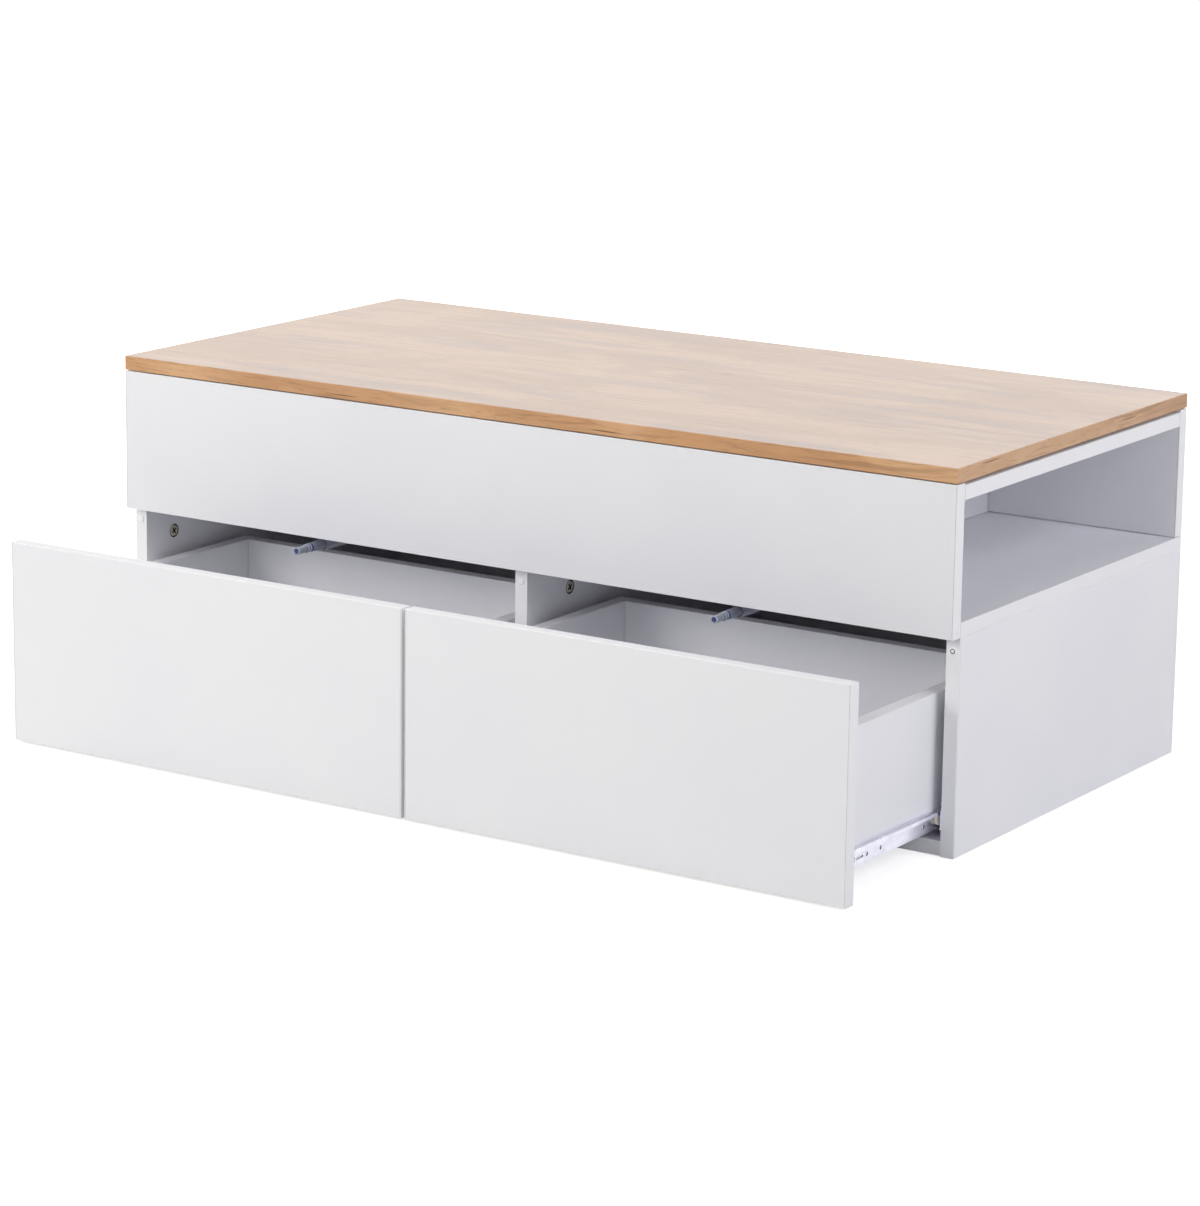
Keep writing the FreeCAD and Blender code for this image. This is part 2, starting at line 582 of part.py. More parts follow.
def drawer_box(drawer, bay):
    """Front, sides, back and bottom of one drawer, standing open by drawer_opening."""
    name = f"{drawer}_drawer"
    left = f"({bay}*{BAY_CENTRE}-{BOX_WIDTH}/2)"
    right = f"({bay}*{BAY_CENTRE}+{BOX_WIDTH}/2)"
    locks = []
    for hand, sign, face in (("left", -1, f"({left}+board)"), ("right", 1, f"({right}-board)")):
        for level, up in (("lower", -1), ("upper", 1)):
            height = f"(box_lift+box_height/2+{up}*drawer_cam_spacing/2)"
            spot = (face, f"({BOX_FRONT}+cam_setback)", height)
            label = f"{name}_{hand}_{level}"
            locks += cam_lock(label, spot, outwards(sign), "-y", f"{name}_{hand}_side", f"{name}_front")
    group(f"{name}_cam_locks", locks)

    floor = "(box_lift+bottom_rise)"
    panel_corner = (f"({left}+board-groove_depth)", f"({BOX_FRONT}-groove_depth)", floor)
    panel_size = (f"({BOX_WIDTH}-2*board+2*groove_depth)", "(box_depth-board+2*groove_depth)", "bottom_panel")
    groove_corner = tuple(f"({text}-fit_play)" for text in panel_corner)
    groove_size = tuple(f"({text}+2*fit_play)" for text in panel_size)
    groove = box(f"{name}_groove", groove_corner, groove_size)
    board(f"{name}_bottom", panel_corner, panel_size)
    for label in ("front", "left_side", "right_side", "back"):
        drill(f"{name}_{label}", groove)

    front_width = "((length-2*front_reveal-front_gap)/2)"
    front_low = span(bay, "front_gap/2", "length/2-front_reveal")
    front_height = "(side_height-front_floor_gap-front_head_gap)"
    front_corner = (front_low, f"({BOX_FRONT}-board)", "front_floor_gap")
    board(f"{name}_front", front_corner, (front_width, "board", front_height))
    side_size = ("board", "box_depth", "box_height")
    board(f"{name}_left_side", (left, BOX_FRONT, "box_lift"), side_size)
    board(f"{name}_right_side", (f"({right}-board)", BOX_FRONT, "box_lift"), side_size)
    back_corner = (f"({left}+board)", f"({BOX_BACK}-board)", "box_lift")
    board(f"{name}_back", back_corner, (f"({BOX_WIDTH}-2*board)", "board", "box_height"))


def push_latch(drawer, bay):
    """A push-to-open latch under the shelf: plunger, its spring and the housing. Returns the screws."""
    middle = f"({bay}*({BAY_CENTRE}+latch_outset))"
    axis_z = "(side_height-latch_drop)"
    tip = f"({PANEL_FRONT}-bumper_height-latch_reach)"
    shaft, slim = "latch_shaft_diameter/2", "latch_tip_diameter/2"
    magnet, hollow = "latch_magnet_diameter/2", "latch_hollow_diameter/2"
    end, hollow_end = "latch_plunger_length", "(latch_plunger_length-latch_hollow_depth)"
    profile = [
        ("0", "latch_magnet_depth"), (magnet, "latch_magnet_depth"), (magnet, "0"), (slim, "0"),
        (slim, "latch_tip_length"), (shaft, "latch_tip_length"), (shaft, end), (hollow, end),
        (hollow, hollow_end), ("0", hollow_end),
    ]
    subparts.append(turned(f"{drawer}_latch_plunger", (middle, tip, axis_z), profile))

    bore, outer = f"({shaft}+latch_bore_play)", f"({shaft}+latch_bore_play+latch_wall)"
    mouth = f"({PANEL_FRONT}+latch_setback)"
    deep = "(latch_housing_length-latch_end_wall)"
    profile = [
        (bore, "0"), (outer, "0"), (outer, "latch_housing_length"), ("0", "latch_housing_length"),
        ("0", deep), (bore, deep),
    ]
    tube = turned(f"{drawer}_latch_tube", (middle, mouth, axis_z), profile)
    flange_z = "(side_height-latch_flange_thickness)"
    wide, narrow = "latch_flange_width/2", outer
    rim = [
        (f"-{narrow}", "0"), (narrow, "0"), (wide, "latch_taper"), (wide, "latch_housing_length"),
        (f"-{wide}", "latch_housing_length"), (f"-{wide}", "latch_taper"),
    ]
    flange = plate(f"{drawer}_latch_flange", "XY_Plane", (middle, mouth, flange_z), rim, (), "latch_flange_thickness")
    neck_low = f"({axis_z}+{bore}+latch_wall/2)"
    neck_corner = (f"({middle}-{bore}/2)", mouth, neck_low)
    neck_size = (bore, "latch_housing_length", f"({flange_z}-{neck_low})")
    neck = box(f"{drawer}_latch_neck", neck_corner, neck_size)
    housing = f"{drawer}_latch_housing"
    screws = []
    across = f"({wide}+{outer})/2"
    for name, hand, along in (
        ("front", -1, "latch_taper+latch_screw_inset"),
        ("rear", 1, "latch_housing_length-latch_screw_inset"),
    ):
        seat = (f"({middle}+{hand}*{across})", f"({mouth}+{along})", flange_z)
        label = f"{drawer}_latch_screw_{name}"
        screws.append(screw(label, seat, "+z", "latch_flange_thickness", housing, "shelf_board"))
    drilled(housing, join(f"{housing}_blank", [tube, flange, neck]))

    spring_front = number(f"{tip}+{hollow_end}") + number("spring_seat")
    spring_rear = number(f"{mouth}+{deep}") - number("spring_seat")
    radius = number("latch_coil_diameter") / 2
    centre = FreeCAD.Vector(number(middle), 0, number(axis_z))

    def on_coil(turn):
        swing = 2 * math.pi * turn
        rise = spring_front + (spring_rear - spring_front) * turn / LATCH_TURNS
        return centre + FreeCAD.Vector(radius * math.cos(swing), rise, radius * math.sin(swing))

    path = coil_edges(on_coil, LATCH_TURNS)
    pitch = (spring_rear - spring_front) / LATCH_TURNS
    print(f"{drawer} latch spring: least gap between turns {pitch - number('latch_wire'):.2f} mm")
    wire_piece(f"{drawer}_latch_spring", path, number("latch_wire"))
    return screws


# Springs

def biarc(start, start_way, end, end_way):
    """Two arcs that leave one point and reach another along given directions."""
    across, sum_way = end - start, start_way + end_way
    bend = 2 * (1 - start_way.dot(end_way))
    along = across.dot(sum_way)
    handle = (math.sqrt(along**2 + bend * across.dot(across)) - along) / bend
    meet = (start + start_way * handle + end - end_way * handle) * 0.5
    return [arc(start, start_way, meet), arc(end, end_way * -1, meet)]


def arc(start, way, end):
    """An arc that leaves a point along a direction and goes through another point."""
    chord = end - start
    side = chord - way * chord.dot(way)
    half_turn = math.atan2(side.Length, chord.dot(way))
    bulge = chord.Length / 2 * math.tan(half_turn / 2)
    lean = way - chord * (way.dot(chord) / chord.dot(chord))
    lean.normalize()
    return Part.Arc(start, (start + end) * 0.5 + lean * bulge, end).toShape()


def coil_edges(on_coil, turns):
    """Arcs along a coil, two for each quarter turn or shorter stretch."""
    step = 1e-5
    count = math.ceil(turns * 4)

    def heading(turn):
        way = on_coil(turn + step) - on_coil(turn - step)
        return way.normalize()

    marks = [turns * index / count for index in range(count + 1)]
    edges = []
    for first, second in zip(marks, marks[1:]):
        edges += biarc(on_coil(first), heading(first), on_coil(second), heading(second))
    return edges


def wire_piece(label, edges, diameter):
    """A round wire along joined edges, as a finished sub-part."""
    path = Part.Wire(Part.__sortEdges__(edges))
    start = path.OrderedEdges[0]
    begin = start.FirstParameter
    section = Part.makeCircle(diameter / 2, start.valueAt(begin), start.tangentAt(begin))
    thing = new("Part::Feature", label)
    thing.Shape = path.makePipeShell([Part.Wire(section)], True, False)
    thing.Placement = FreeCAD.Placement()
    subparts.append(thing)


def torsion_spring(name, side):
    """A spring round the front pivot: one leg stands on the base bracket, the other lifts the front arm."""
    radius, wire = number("spring_diameter") / 2, number("spring_wire")
    pivot = FreeCAD.Vector(0, number(FRONT_PIVOT_Y), number(FRONT_PIVOT_Z))
    rise = math.radians(number("arm_rest"))
    along_arm = FreeCAD.Vector(0, math.cos(rise), math.sin(rise))
    outer = number(f"{ARM_IN}-lift_gap") - wire
    inner = number(EAR_OUT) + wire
    turns = TORSION_TURNS - 0.25 + rise / (2 * math.pi)

    def on_coil(turn):
        swing = 2 * math.pi * turn
        across = side * (inner + (outer - inner) * turn / turns)
        return pivot + FreeCAD.Vector(across, radius * math.cos(swing), radius * math.sin(swing))

    coil = coil_edges(on_coil, turns)
    first, last = on_coil(0), on_coil(turns)
    foot_top = number(f"{SHELF_TOP}+base_plate+spring_seat")
    foot = FreeCAD.Vector(first.x, first.y, foot_top)
    leg_end = last + along_arm * number("spring_leg")
    bend = number("spring_bend")
    to_arm = FreeCAD.Vector(side, 0, 0)
    hook_start = leg_end + (along_arm + to_arm) * bend
    hook_length = number(ARM_OUT) - abs(hook_start.x)
    edges = [Part.LineSegment(foot, first).toShape()] + coil
    edges.append(Part.LineSegment(last, leg_end).toShape())
    edges.append(arc(leg_end, along_arm, hook_start))
    edges.append(Part.LineSegment(hook_start, hook_start + to_arm * hook_length).toShape())
    print(f"{name} lift spring: least gap between turns {(outer - inner) / turns - wire:.2f} mm")
    wire_piece(f"lift_spring_{name}", edges, wire)


# Lift mechanism

def lift_base(name, side):
    """A base bracket: a cheek on the niche wall, a foot on the shelf and an ear round the front pivot."""
    label = f"lift_base_{name}"
    pivot_hole = "pin_diameter/2+pin_play"
    place = (span(side, CHEEK_IN, COMPARTMENT_WALL), FRONT_PIVOT_Y, FRONT_PIVOT_Z)
    toe = "(cheek_toe-pivot_height)"
    corners = [
        ("-cheek_front", "-pivot_height"), ("cheek_back", "-pivot_height"), ("cheek_back", toe),
        ("pivot_step+cheek_margin", "cheek_margin-pivot_drop"), ("cheek_margin", "cheek_margin"),
        ("-cheek_margin", "cheek_margin"), ("-cheek_front", toe),
    ]
    pivots = [("0", "0", pivot_hole), ("pivot_step", "-pivot_drop", pivot_hole)]
    cheek = plate(f"{label}_cheek", "YZ_Plane", place, corners, pivots, "base_plate")
    place = (span(side, EAR_IN, EAR_OUT), FRONT_PIVOT_Y, FRONT_PIVOT_Z)
    corners = [
        ("-cheek_front", "-pivot_height"), ("cheek_front", "-pivot_height"), ("cheek_front", toe),
        ("cheek_margin", "cheek_margin"), ("-cheek_margin", "cheek_margin"), ("-cheek_front", toe),
    ]
    ear = plate(f"{label}_ear", "YZ_Plane", place, corners, pivots[:1], "base_plate")
    foot_corner = (span(side, EAR_IN, COMPARTMENT_WALL), f"({FRONT_PIVOT_Y}-cheek_front)", SHELF_TOP)
    foot = box(f"{label}_foot", foot_corner, ("base_foot", "2*cheek_front", "base_plate"))
    screws = []
    low = f"({SHELF_TOP}+bracket_screw_inset)"
    for count, along in enumerate(("bracket_screw_inset-cheek_front", "cheek_back-bracket_screw_inset")):
        seat = (f"({side}*{CHEEK_IN})", f"({FRONT_PIVOT_Y}+{along})", low)
        tag = f"{label}_screw_{count}"
        screws.append(screw(tag, seat, outwards(side), "base_plate", label, f"niche_wall_{name}"))
    drilled(label, join(f"{label}_blank", [cheek, ear, foot]))
    return screws


def base_pins():
    """The arms' lower pivot pins: the front ones carry the springs' sleeves."""
    pins = []
    for name, side in SIDES:
        inward = back(outwards(side))
        wall = (f"({side}*{COMPARTMENT_WALL})", FRONT_PIVOT_Y, FRONT_PIVOT_Z)
        front = rod(f"front_pin_{name}_shank", wall, inward, "pin_diameter/2", "base_foot")
        sleeve_start = shift(wall, inward, f"{COMPARTMENT_WALL}-{ARM_IN}+lift_gap")
        sleeve_length = f"({ARM_IN}-lift_gap-{EAR_OUT})"
        sleeve = rod(f"front_pin_{name}_sleeve", sleeve_start, inward, "spring_sleeve/2", sleeve_length)
        end = shift(wall, inward, "base_foot")
        head = rod(f"front_pin_{name}_head", end, inward, "rivet_diameter/2", "rivet_head")
        pins.append(join(f"front_pin_{name}", [front, sleeve, head]))
        wall = shift(shift(wall, "+y", "pivot_step"), "-z", "pivot_drop")
        reach = f"({COMPARTMENT_WALL}-{ARM_IN})"
        rear = rod(f"rear_pin_{name}_shank", wall, inward, "pin_diameter/2", reach)
        head = rod(f"rear_pin_{name}_head", shift(wall, inward, reach), inward, "rivet_diameter/2", "rivet_head")
        pins.append(join(f"rear_pin_{name}", [rear, head]))
    group("base_pins", pins)


def arms(name, side):
    """One front arm, and one rear arm with the riveted pin that its top bracket turns on."""
    across = span(side, ARM_IN, ARM_OUT)
    lower, upper = ("0", "0", "pin_diameter/2+pin_play"), (ARM_LENGTH, "0", "pin_diameter/2+pin_play")
    place = (across, FRONT_PIVOT_Y, FRONT_PIVOT_Z)
    front = strip(f"front_arm_{name}", place, ARM_LENGTH, "arm_width", "arm_plate", [lower, upper])
    subparts.append(front)
    place = shift(shift(place, "+y", "pivot_step"), "-z", "pivot_drop")
    rear = strip(f"rear_arm_{name}_bar", place, ARM_LENGTH, "arm_width", "arm_plate", [lower])
    inward = back(outwards(side))
    end = (f"({side}*{ARM_IN})", f"({place[1]}+{ARM_Y})", f"({place[2]}+{ARM_Z})")
    reach = f"({ARM_IN}-{BRACKET_IN}+lift_gap/4)"
    pin = rod(f"rear_arm_{name}_pin", end, inward, "pin_diameter/2", reach)
    head = rod(f"rear_arm_{name}_rivet", shift(end, inward, reach), inward, "rivet_diameter/2", "rivet_head")
    subparts.append(join(f"rear_arm_{name}", [rear, pin, head]))


def cross_bar():
    """The tube that makes the left and right front arms turn as one."""
    start = (
        f"(-({ARM_IN}))",
        f"({FRONT_PIVOT_Y}+bar_along*cos(arm_rest))",
        f"({FRONT_PIVOT_Z}+bar_along*sin(arm_rest))",
    )
    whole = rod("cross_bar_rod", start, "+x", "bar_diameter/2", f"(2*{ARM_IN})")
    bore = rod("cross_bar_bore", start, "+x", "bar_diameter/2-bar_wall", f"(2*{ARM_IN})")
    subparts.append(cut("cross_bar", whole, [bore]))


def top_bracket(name, side):
    """An angle under the top whose web hangs on both arms; its own pin turns in the front arm."""
    label = f"top_bracket_{name}"
    pivot_y, pivot_z = f"({FRONT_PIVOT_Y}+{ARM_Y})", f"({FRONT_PIVOT_Z}+{ARM_Z})"
    place = (span(side, BRACKET_IN, BRACKET_OUT), pivot_y, pivot_z)
    under_top = f"({TOP_UNDERSIDE}-{pivot_z})"
    corners = [
        ("-flange_front", under_top), ("-flange_front", f"({under_top}-2*base_plate)"),
        ("-cheek_margin", "-cheek_margin/2"), ("cheek_margin/2", "-cheek_margin"),
        ("pivot_step-cheek_margin", "-pivot_drop-cheek_margin/2"),
        ("pivot_step+cheek_margin/2", "-pivot_drop-cheek_margin"),
        ("pivot_step+cheek_margin", "-pivot_drop"), ("flange_back", f"({under_top}-2*base_plate)"),
        ("flange_back", under_top),
    ]
    open_pivot = ("pivot_step", "-pivot_drop", "pin_diameter/2+open_play")
    web = plate(f"{label}_web", "YZ_Plane", place, corners, [open_pivot], "base_plate")
    flange_z = f"({TOP_UNDERSIDE}-base_plate)"
    flange_in = f"({BRACKET_OUT}-flange_width)"
    corner = (span(side, flange_in, BRACKET_OUT), f"({pivot_y}-flange_front)", flange_z)
    flange = box(f"{label}_flange", corner, ("flange_width", "flange_front+flange_back", "base_plate"))
    inner_face = (f"({side}*{BRACKET_IN})", pivot_y, pivot_z)
    reach = f"({ARM_OUT}-{BRACKET_IN}+lift_gap/2)"
    pin = rod(f"{label}_pin", inner_face, outwards(side), "pin_diameter/2", reach)
    screws = []
    middle = f"({side}*({flange_in}+bracket_screw_inset))"
    for count, along in enumerate(("bracket_screw_inset-flange_front", "flange_back-bracket_screw_inset")):
        seat = (middle, f"({pivot_y}+{along})", flange_z)
        screws.append(screw(f"{label}_screw_{count}", seat, "+z", "base_plate", label, "top_board"))
    return cut(label, join(f"{label}_blank", [web, flange, pin]), drillings[label]), screws


# Boards of the carcass

def carcass_boards():
    """Every board of the carcass, and the top."""
    for name, side in SIDES:
        corner = (span(side, "length/2-board", "length/2"), PANEL_FRONT, "0")
        board(f"side_panel_{name}", corner, ("board", "depth-board", "side_height"))
        corner = (span(side, COMPARTMENT_WALL, f"{COMPARTMENT_WALL}+board"), PANEL_FRONT, SHELF_TOP)
        board(f"niche_wall_{name}", corner, ("board", "depth-2*board", "upper_height"))
        corner = (span(side, "length/2-niche_depth", "length/2"), PANEL_FRONT, f"({PANEL_TOP}-niche_drop-board)")
        board(f"niche_top_{name}", corner, ("niche_depth", "depth-2*board", "board"))
    bay_length = "(length-2*board)"
    board("partition", ("(-board/2)", PANEL_FRONT, "board"), ("board", "depth-2*board", "side_height-board"))
    corner = ("(board-length/2)", f"({PANEL_FRONT}+bottom_setback)", "0")
    board("bottom_board", corner, (bay_length, "depth-2*board-bottom_setback", "board"))
    board("lower_back", ("(board-length/2)", f"({REAR_FACE}-board)", "0"), (bay_length, "board", "side_height"))
    board("shelf_board", ("(-length/2)", PANEL_FRONT, "side_height"), ("length", "depth-board", "board"))
    board("upper_front", ("(-length/2)", "(-depth/2)", "side_height"), ("length", "board", "board+upper_height"))
    board("upper_back", ("(-length/2)", f"({REAR_FACE}-board)", SHELF_TOP), ("length", "board", "upper_height"))
    board("top_board", ("(-length/2)", "(-depth/2)", TOP_UNDERSIDE), ("length", "depth", "top_thickness"))


def main():
    """Build every sub-part, check it and write it."""
    carcass_screws, brackets, top_screws = [], [], []
    carcass_cam_locks()
    bumpers()
    for drawer, bay in SIDES:
        carcass_screws += slides(drawer, bay) + push_latch(drawer, bay)
        drawer_box(drawer, bay)
    for name, side in SIDES:
        carcass_screws += lift_base(name, side)
        arms(name, side)
        bracket, screws = top_bracket(name, side)
        brackets.append(bracket)
        top_screws += screws
        torsion_spring(name, side)
    base_pins()
    cross_bar()
    group("carcass_screws", carcass_screws)
    group("top_brackets", brackets)
    group("top_screws", top_screws)
    carcass_boards()
    doc.recompute()

    for thing in doc.Objects:
        if {"Invalid", "Error"} & set(thing.State):
            raise RuntimeError(f"{thing.Label} failed: {thing.State}")
    for thing in subparts:
        if thing.Shape.isNull() or not thing.Shape.isValid():
            raise RuntimeError(f"{thing.Label} has no valid shape")
    os.makedirs("parts", exist_ok=True)
    for thing in subparts:
        thing.Shape.exportStep(f"parts/{thing.Label}.step")
    print(f"{len(subparts)} sub-parts written")


main()
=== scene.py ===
"""Looks of a coffee table with a lift top and two push-to-open drawers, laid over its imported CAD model.

Every board gets rounded edges, an edge band and the fine glue line beside the band. The fittings get their
rolled, turned and pressed shapes. Lengths are metres in the CAD model's own frame: +X runs along the table to
the right, the drawers face -Y and the floor is at zero.
"""

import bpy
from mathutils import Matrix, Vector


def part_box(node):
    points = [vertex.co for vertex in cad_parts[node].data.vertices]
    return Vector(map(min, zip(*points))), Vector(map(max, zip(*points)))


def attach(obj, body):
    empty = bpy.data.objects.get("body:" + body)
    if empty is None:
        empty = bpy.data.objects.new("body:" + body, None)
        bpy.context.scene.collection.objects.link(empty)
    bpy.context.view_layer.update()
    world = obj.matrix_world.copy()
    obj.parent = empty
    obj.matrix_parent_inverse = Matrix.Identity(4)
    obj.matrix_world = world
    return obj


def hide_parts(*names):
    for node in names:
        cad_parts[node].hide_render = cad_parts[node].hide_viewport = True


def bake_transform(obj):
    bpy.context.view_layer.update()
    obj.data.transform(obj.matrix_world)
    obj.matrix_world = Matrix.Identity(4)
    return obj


bl_info = {
    "name": "Lift-top coffee table",
    "version": (1, 0, 0),
    "blender": (4, 5, 0),
    "location": "View3D > Sidebar > Table",
    "description": "Boards, fittings and finishes of a lift-top coffee table",
    "category": "Object",
}

from math import atan2, cos, hypot, pi, radians, sin

import bmesh
import bpy
from bpy.props import FloatProperty, FloatVectorProperty, IntProperty, PointerProperty
from mathutils import Matrix, Vector

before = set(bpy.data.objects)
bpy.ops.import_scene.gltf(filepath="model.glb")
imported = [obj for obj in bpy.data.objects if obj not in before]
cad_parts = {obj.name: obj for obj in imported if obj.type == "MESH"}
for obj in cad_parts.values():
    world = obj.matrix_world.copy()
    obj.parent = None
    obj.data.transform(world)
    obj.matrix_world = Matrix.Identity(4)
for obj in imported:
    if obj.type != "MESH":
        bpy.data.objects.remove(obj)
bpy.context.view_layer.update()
MM = 0.001
# Finishes by number: on a board, on a turned or rolled piece and on a plunger, whose tip has the first.
FACE, BAND, SEAM, CORE, END = range(5)
# The second finish of a turned or rolled piece is painted shade in its recesses, holes and rims.
METAL, SHADED_RECESS = range(2)
# On a plunger: dark blue on the sunken end and, as painted shade, on the neck; painted highlight on the nose
# rim and the collar crests; the shaft; painted shade in the grooves and flutes.
DARK_BLUE_END_AND_NECK, CREST_HIGHLIGHT, SHAFT, GROOVE_SHADE = range(1, 5)
SIDES = (("left", -1), ("right", 1))
# Degrees above which an edge stays sharp on hard pieces, wires and soft pieces.
CREASE, WIRE_CREASE, SOFT_CREASE = 35, 50, 60


def tint(red, green, blue):
    """A colour given on the 0 to 255 screen scale, in Blender's linear values."""
    shares = (value / 255 for value in (red, green, blue))
    return (*(s / 12.92 if s <= 0.04045 else ((s + 0.055) / 1.055) ** 2.4 for s in shares), 1.0)


def length(name, description, default):
    """A length that a user may change."""
    return FloatProperty(
        name=name, description=description, default=default, min=0.0, precision=5, unit="LENGTH"
    )


def colour(name, *screen):
    """A colour that a user may change."""
    return FloatVectorProperty(
        name=name, description=f"Colour of the {name.lower()}", default=tint(*screen),
        size=4, min=0.0, max=1.0, subtype="COLOR",
    )


def angle(name, description, degrees):
    """An angle that a user may change."""
    return FloatProperty(name=name, description=description, default=radians(degrees), subtype="ANGLE")


def power(name, default):
    """The strength of a light that a user may change."""
    about = f"Power of the {name.lower()} light"
    return FloatProperty(name=f"{name} power", description=about, default=default, min=0.0)


class TableSizes(bpy.types.PropertyGroup):
    """Small sizes that the CAD model leaves plain."""

    board_round: length("Board edge", "Rounding of a banded board's edges", 0.5 * MM)
    band: length("Edge band", "Thickness of the band round a board", 1.2 * MM)
    glue_width: length("Glue line width", "Width of the line between band and face", 0.45 * MM)
    glue_depth: length("Glue line depth", "Depth of the line between band and face", 0.2 * MM)
    joint_gap: length("Joint gap", "Gap where one board butts against another", 0.6 * MM)
    steel_round: length("Steel edge", "Rounding of cut steel plates", 0.35 * MM)
    cam_play: length("Cam play", "Gap round a cam in its pocket, at the radius", 0.1 * MM)
    groove_play: length("Groove play", "Gap round a drawer bottom in its grooves", 0.1 * MM)
    rail_steel: length("Cabinet rail sheet", "Sheet thickness of the cabinet rails", 1.2 * MM)
    slide_steel: length("Drawer rail sheet", "Sheet thickness of the drawer rails", 1.0 * MM)
    lift_wire: length("Lift spring wire", "Wire of the lift springs", 3.0 * MM)
    latch_wire: length("Latch spring wire", "Wire of the latch springs", 0.8 * MM)
    round_steps: IntProperty(name="Round steps", description="Sides of a turned piece", default=40, min=12)


class TableColours(bpy.types.PropertyGroup):
    """Colours of the finishes."""

    white: colour("White board", 242, 242, 247)
    white_shade: colour("White board shade", 239, 239, 245)
    band_white: colour("White edge band", 242, 242, 246)
    glue: colour("Glue line", 185, 183, 173)
    chip: colour("Chipboard core", 176, 148, 112)
    chip_dark: colour("Dark chips", 120, 92, 62)
    oak_pale: colour("Pale oak", 217, 186, 163)
    oak_brown: colour("Brown oak", 203, 171, 149)
    oak_grey: colour("Grey oak streaks", 181, 161, 154)
    oak_pore: colour("Oak pores", 142, 114, 96)
    edge_pale: colour("Pale oak edge", 218, 171, 126)
    edge_brown: colour("Brown oak edge", 204, 152, 104)
    edge_grey: colour("Dark oak edge", 186, 136, 94)
    edge_pore: colour("Oak edge strokes", 112, 72, 44)
    end_pale: colour("Pale oak end", 205, 162, 122)
    end_brown: colour("Brown oak end", 192, 144, 101)
    end_grey: colour("Dark oak end", 175, 129, 91)
    end_pore: colour("Oak end strokes", 112, 72, 44)
    zinc: colour("Zinc plate", 232, 232, 244)
    zinc_dull: colour("Dull zinc plate", 214, 214, 228)
    cam: colour("Cam face", 226, 220, 208)
    cam_shade: colour("Cam shade", 204, 196, 182)
    # Painted shade: these two colours darken cross recesses, cam rims, punched holes and one bumper's ring.
    recess: colour("Pressed recess", 58, 54, 50)
    recess_deep_shade: colour("Painted deep recess shade", 34, 31, 28)
    steel: colour("Bright steel", 198, 198, 200)
    steel_dull: colour("Dull steel", 150, 150, 154)
    lift: colour("Lift paint", 96, 98, 102)
    lift_dark: colour("Lift paint shade", 80, 82, 86)
    latch: colour("Latch housing", 150, 150, 168)
    latch_dark: colour("Latch shade", 138, 138, 158)
    plunger: colour("Plunger tip", 158, 166, 180)
    plunger_shade: colour("Plunger tip shade", 142, 150, 166)
    # Painted highlight: the nose rim and the collar crests are lighter than the rest of the plunger.
    collar: colour("Plunger collar", 184, 194, 214)
    shaft: colour("Plunger shaft", 152, 154, 174)
    # The shaft's shade colour is also the painted shade in the plunger's grooves.
    shaft_dark: colour("Plunger shaft shade", 112, 116, 134)
    # Dark blue of the tip's sunken end; on the neck behind the collars it is painted shade.
    end_blue: colour("Plunger end", 70, 86, 138)
    end_blue_deeper: colour("Plunger end shade", 50, 62, 112)
    roller: colour("Roller", 214, 204, 182)
    roller_dark: colour("Roller shade", 196, 182, 156)
    clear: colour("Clear bumper", 247, 247, 249)
    floor: colour("Studio floor", 226, 226, 224)
    key: colour("Key light", 255, 254, 250)
    over: colour("Overhead light", 254, 255, 249)
    fill: colour("Fill light", 250, 250, 255)
    front: colour("Front light", 255, 254, 246)
    back: colour("Back light", 255, 254, 250)
    sky: colour("Room light", 253, 253, 255)


class TableStage(bpy.types.PropertyGroup):
    """Camera and light."""

    lens: FloatProperty(name="Lens", description="Focal length in millimetres", default=122.636, min=1.0)
    azimuth: angle("Camera azimuth", "Camera to the right of the front", 33.116)
    height: angle("Camera elevation", "Camera above the horizon", 12.581)
    roll: angle("Camera roll", "Turn about the view axis", 0.787)
    distance: length("Camera distance", "Camera to its target", 4.407305)
    target: FloatVectorProperty(
        name="Camera target", description="Point that the camera looks at",
        default=(-0.043788, 0.0, 0.188907), size=3, subtype="TRANSLATION", unit="LENGTH",
    )
    shift: FloatVectorProperty(
        name="Lens shift", description="Picture moved on the film",
        default=(-0.009284, -0.042188), size=2, precision=6,
    )
    key_power: power("Key", 68.5)
    over_power: power("Overhead", 53.0)
    fill_power: power("Fill", 55.0)
    front_power: power("Front", 17.0)
    back_power: power("Back", 39.0)
    sky_power: power("Room", 0.12)


# Node trees


def add(tree, kind, sockets=None, **settings):
    """A shader node of a kind, with its settings, its links and its values."""
    node = tree.nodes.new(f"ShaderNode{kind}")
    for name, value in settings.items():
        setattr(node, name, value)
    for socket, value in (sockets or {}).items():
        if isinstance(value, bpy.types.NodeSocket):
            tree.links.new(value, node.inputs[socket])
        else:
            node.inputs[socket].default_value = value
    return node


def maths(tree, operation, first, second=0.0):
    """One sum on two values."""
    return add(tree, "Math", {0: first, 1: second}, operation=operation).outputs[0]


def noise(tree, place, scale, detail=2.0, roughness=0.5, distortion=0.0):
    """A cloud between zero and one."""
    sockets = {"Vector": place, "Scale": scale, "Detail": detail, "Roughness": roughness}
    return add(tree, "TexNoise", sockets | {"Distortion": distortion}).outputs["Fac"]


def stretch(tree, place, scale, offset=(0.0, 0.0, 0.0)):
    """Coordinates scaled along each axis."""
    return add(tree, "Mapping", {"Vector": place, "Location": offset, "Scale": scale}).outputs["Vector"]


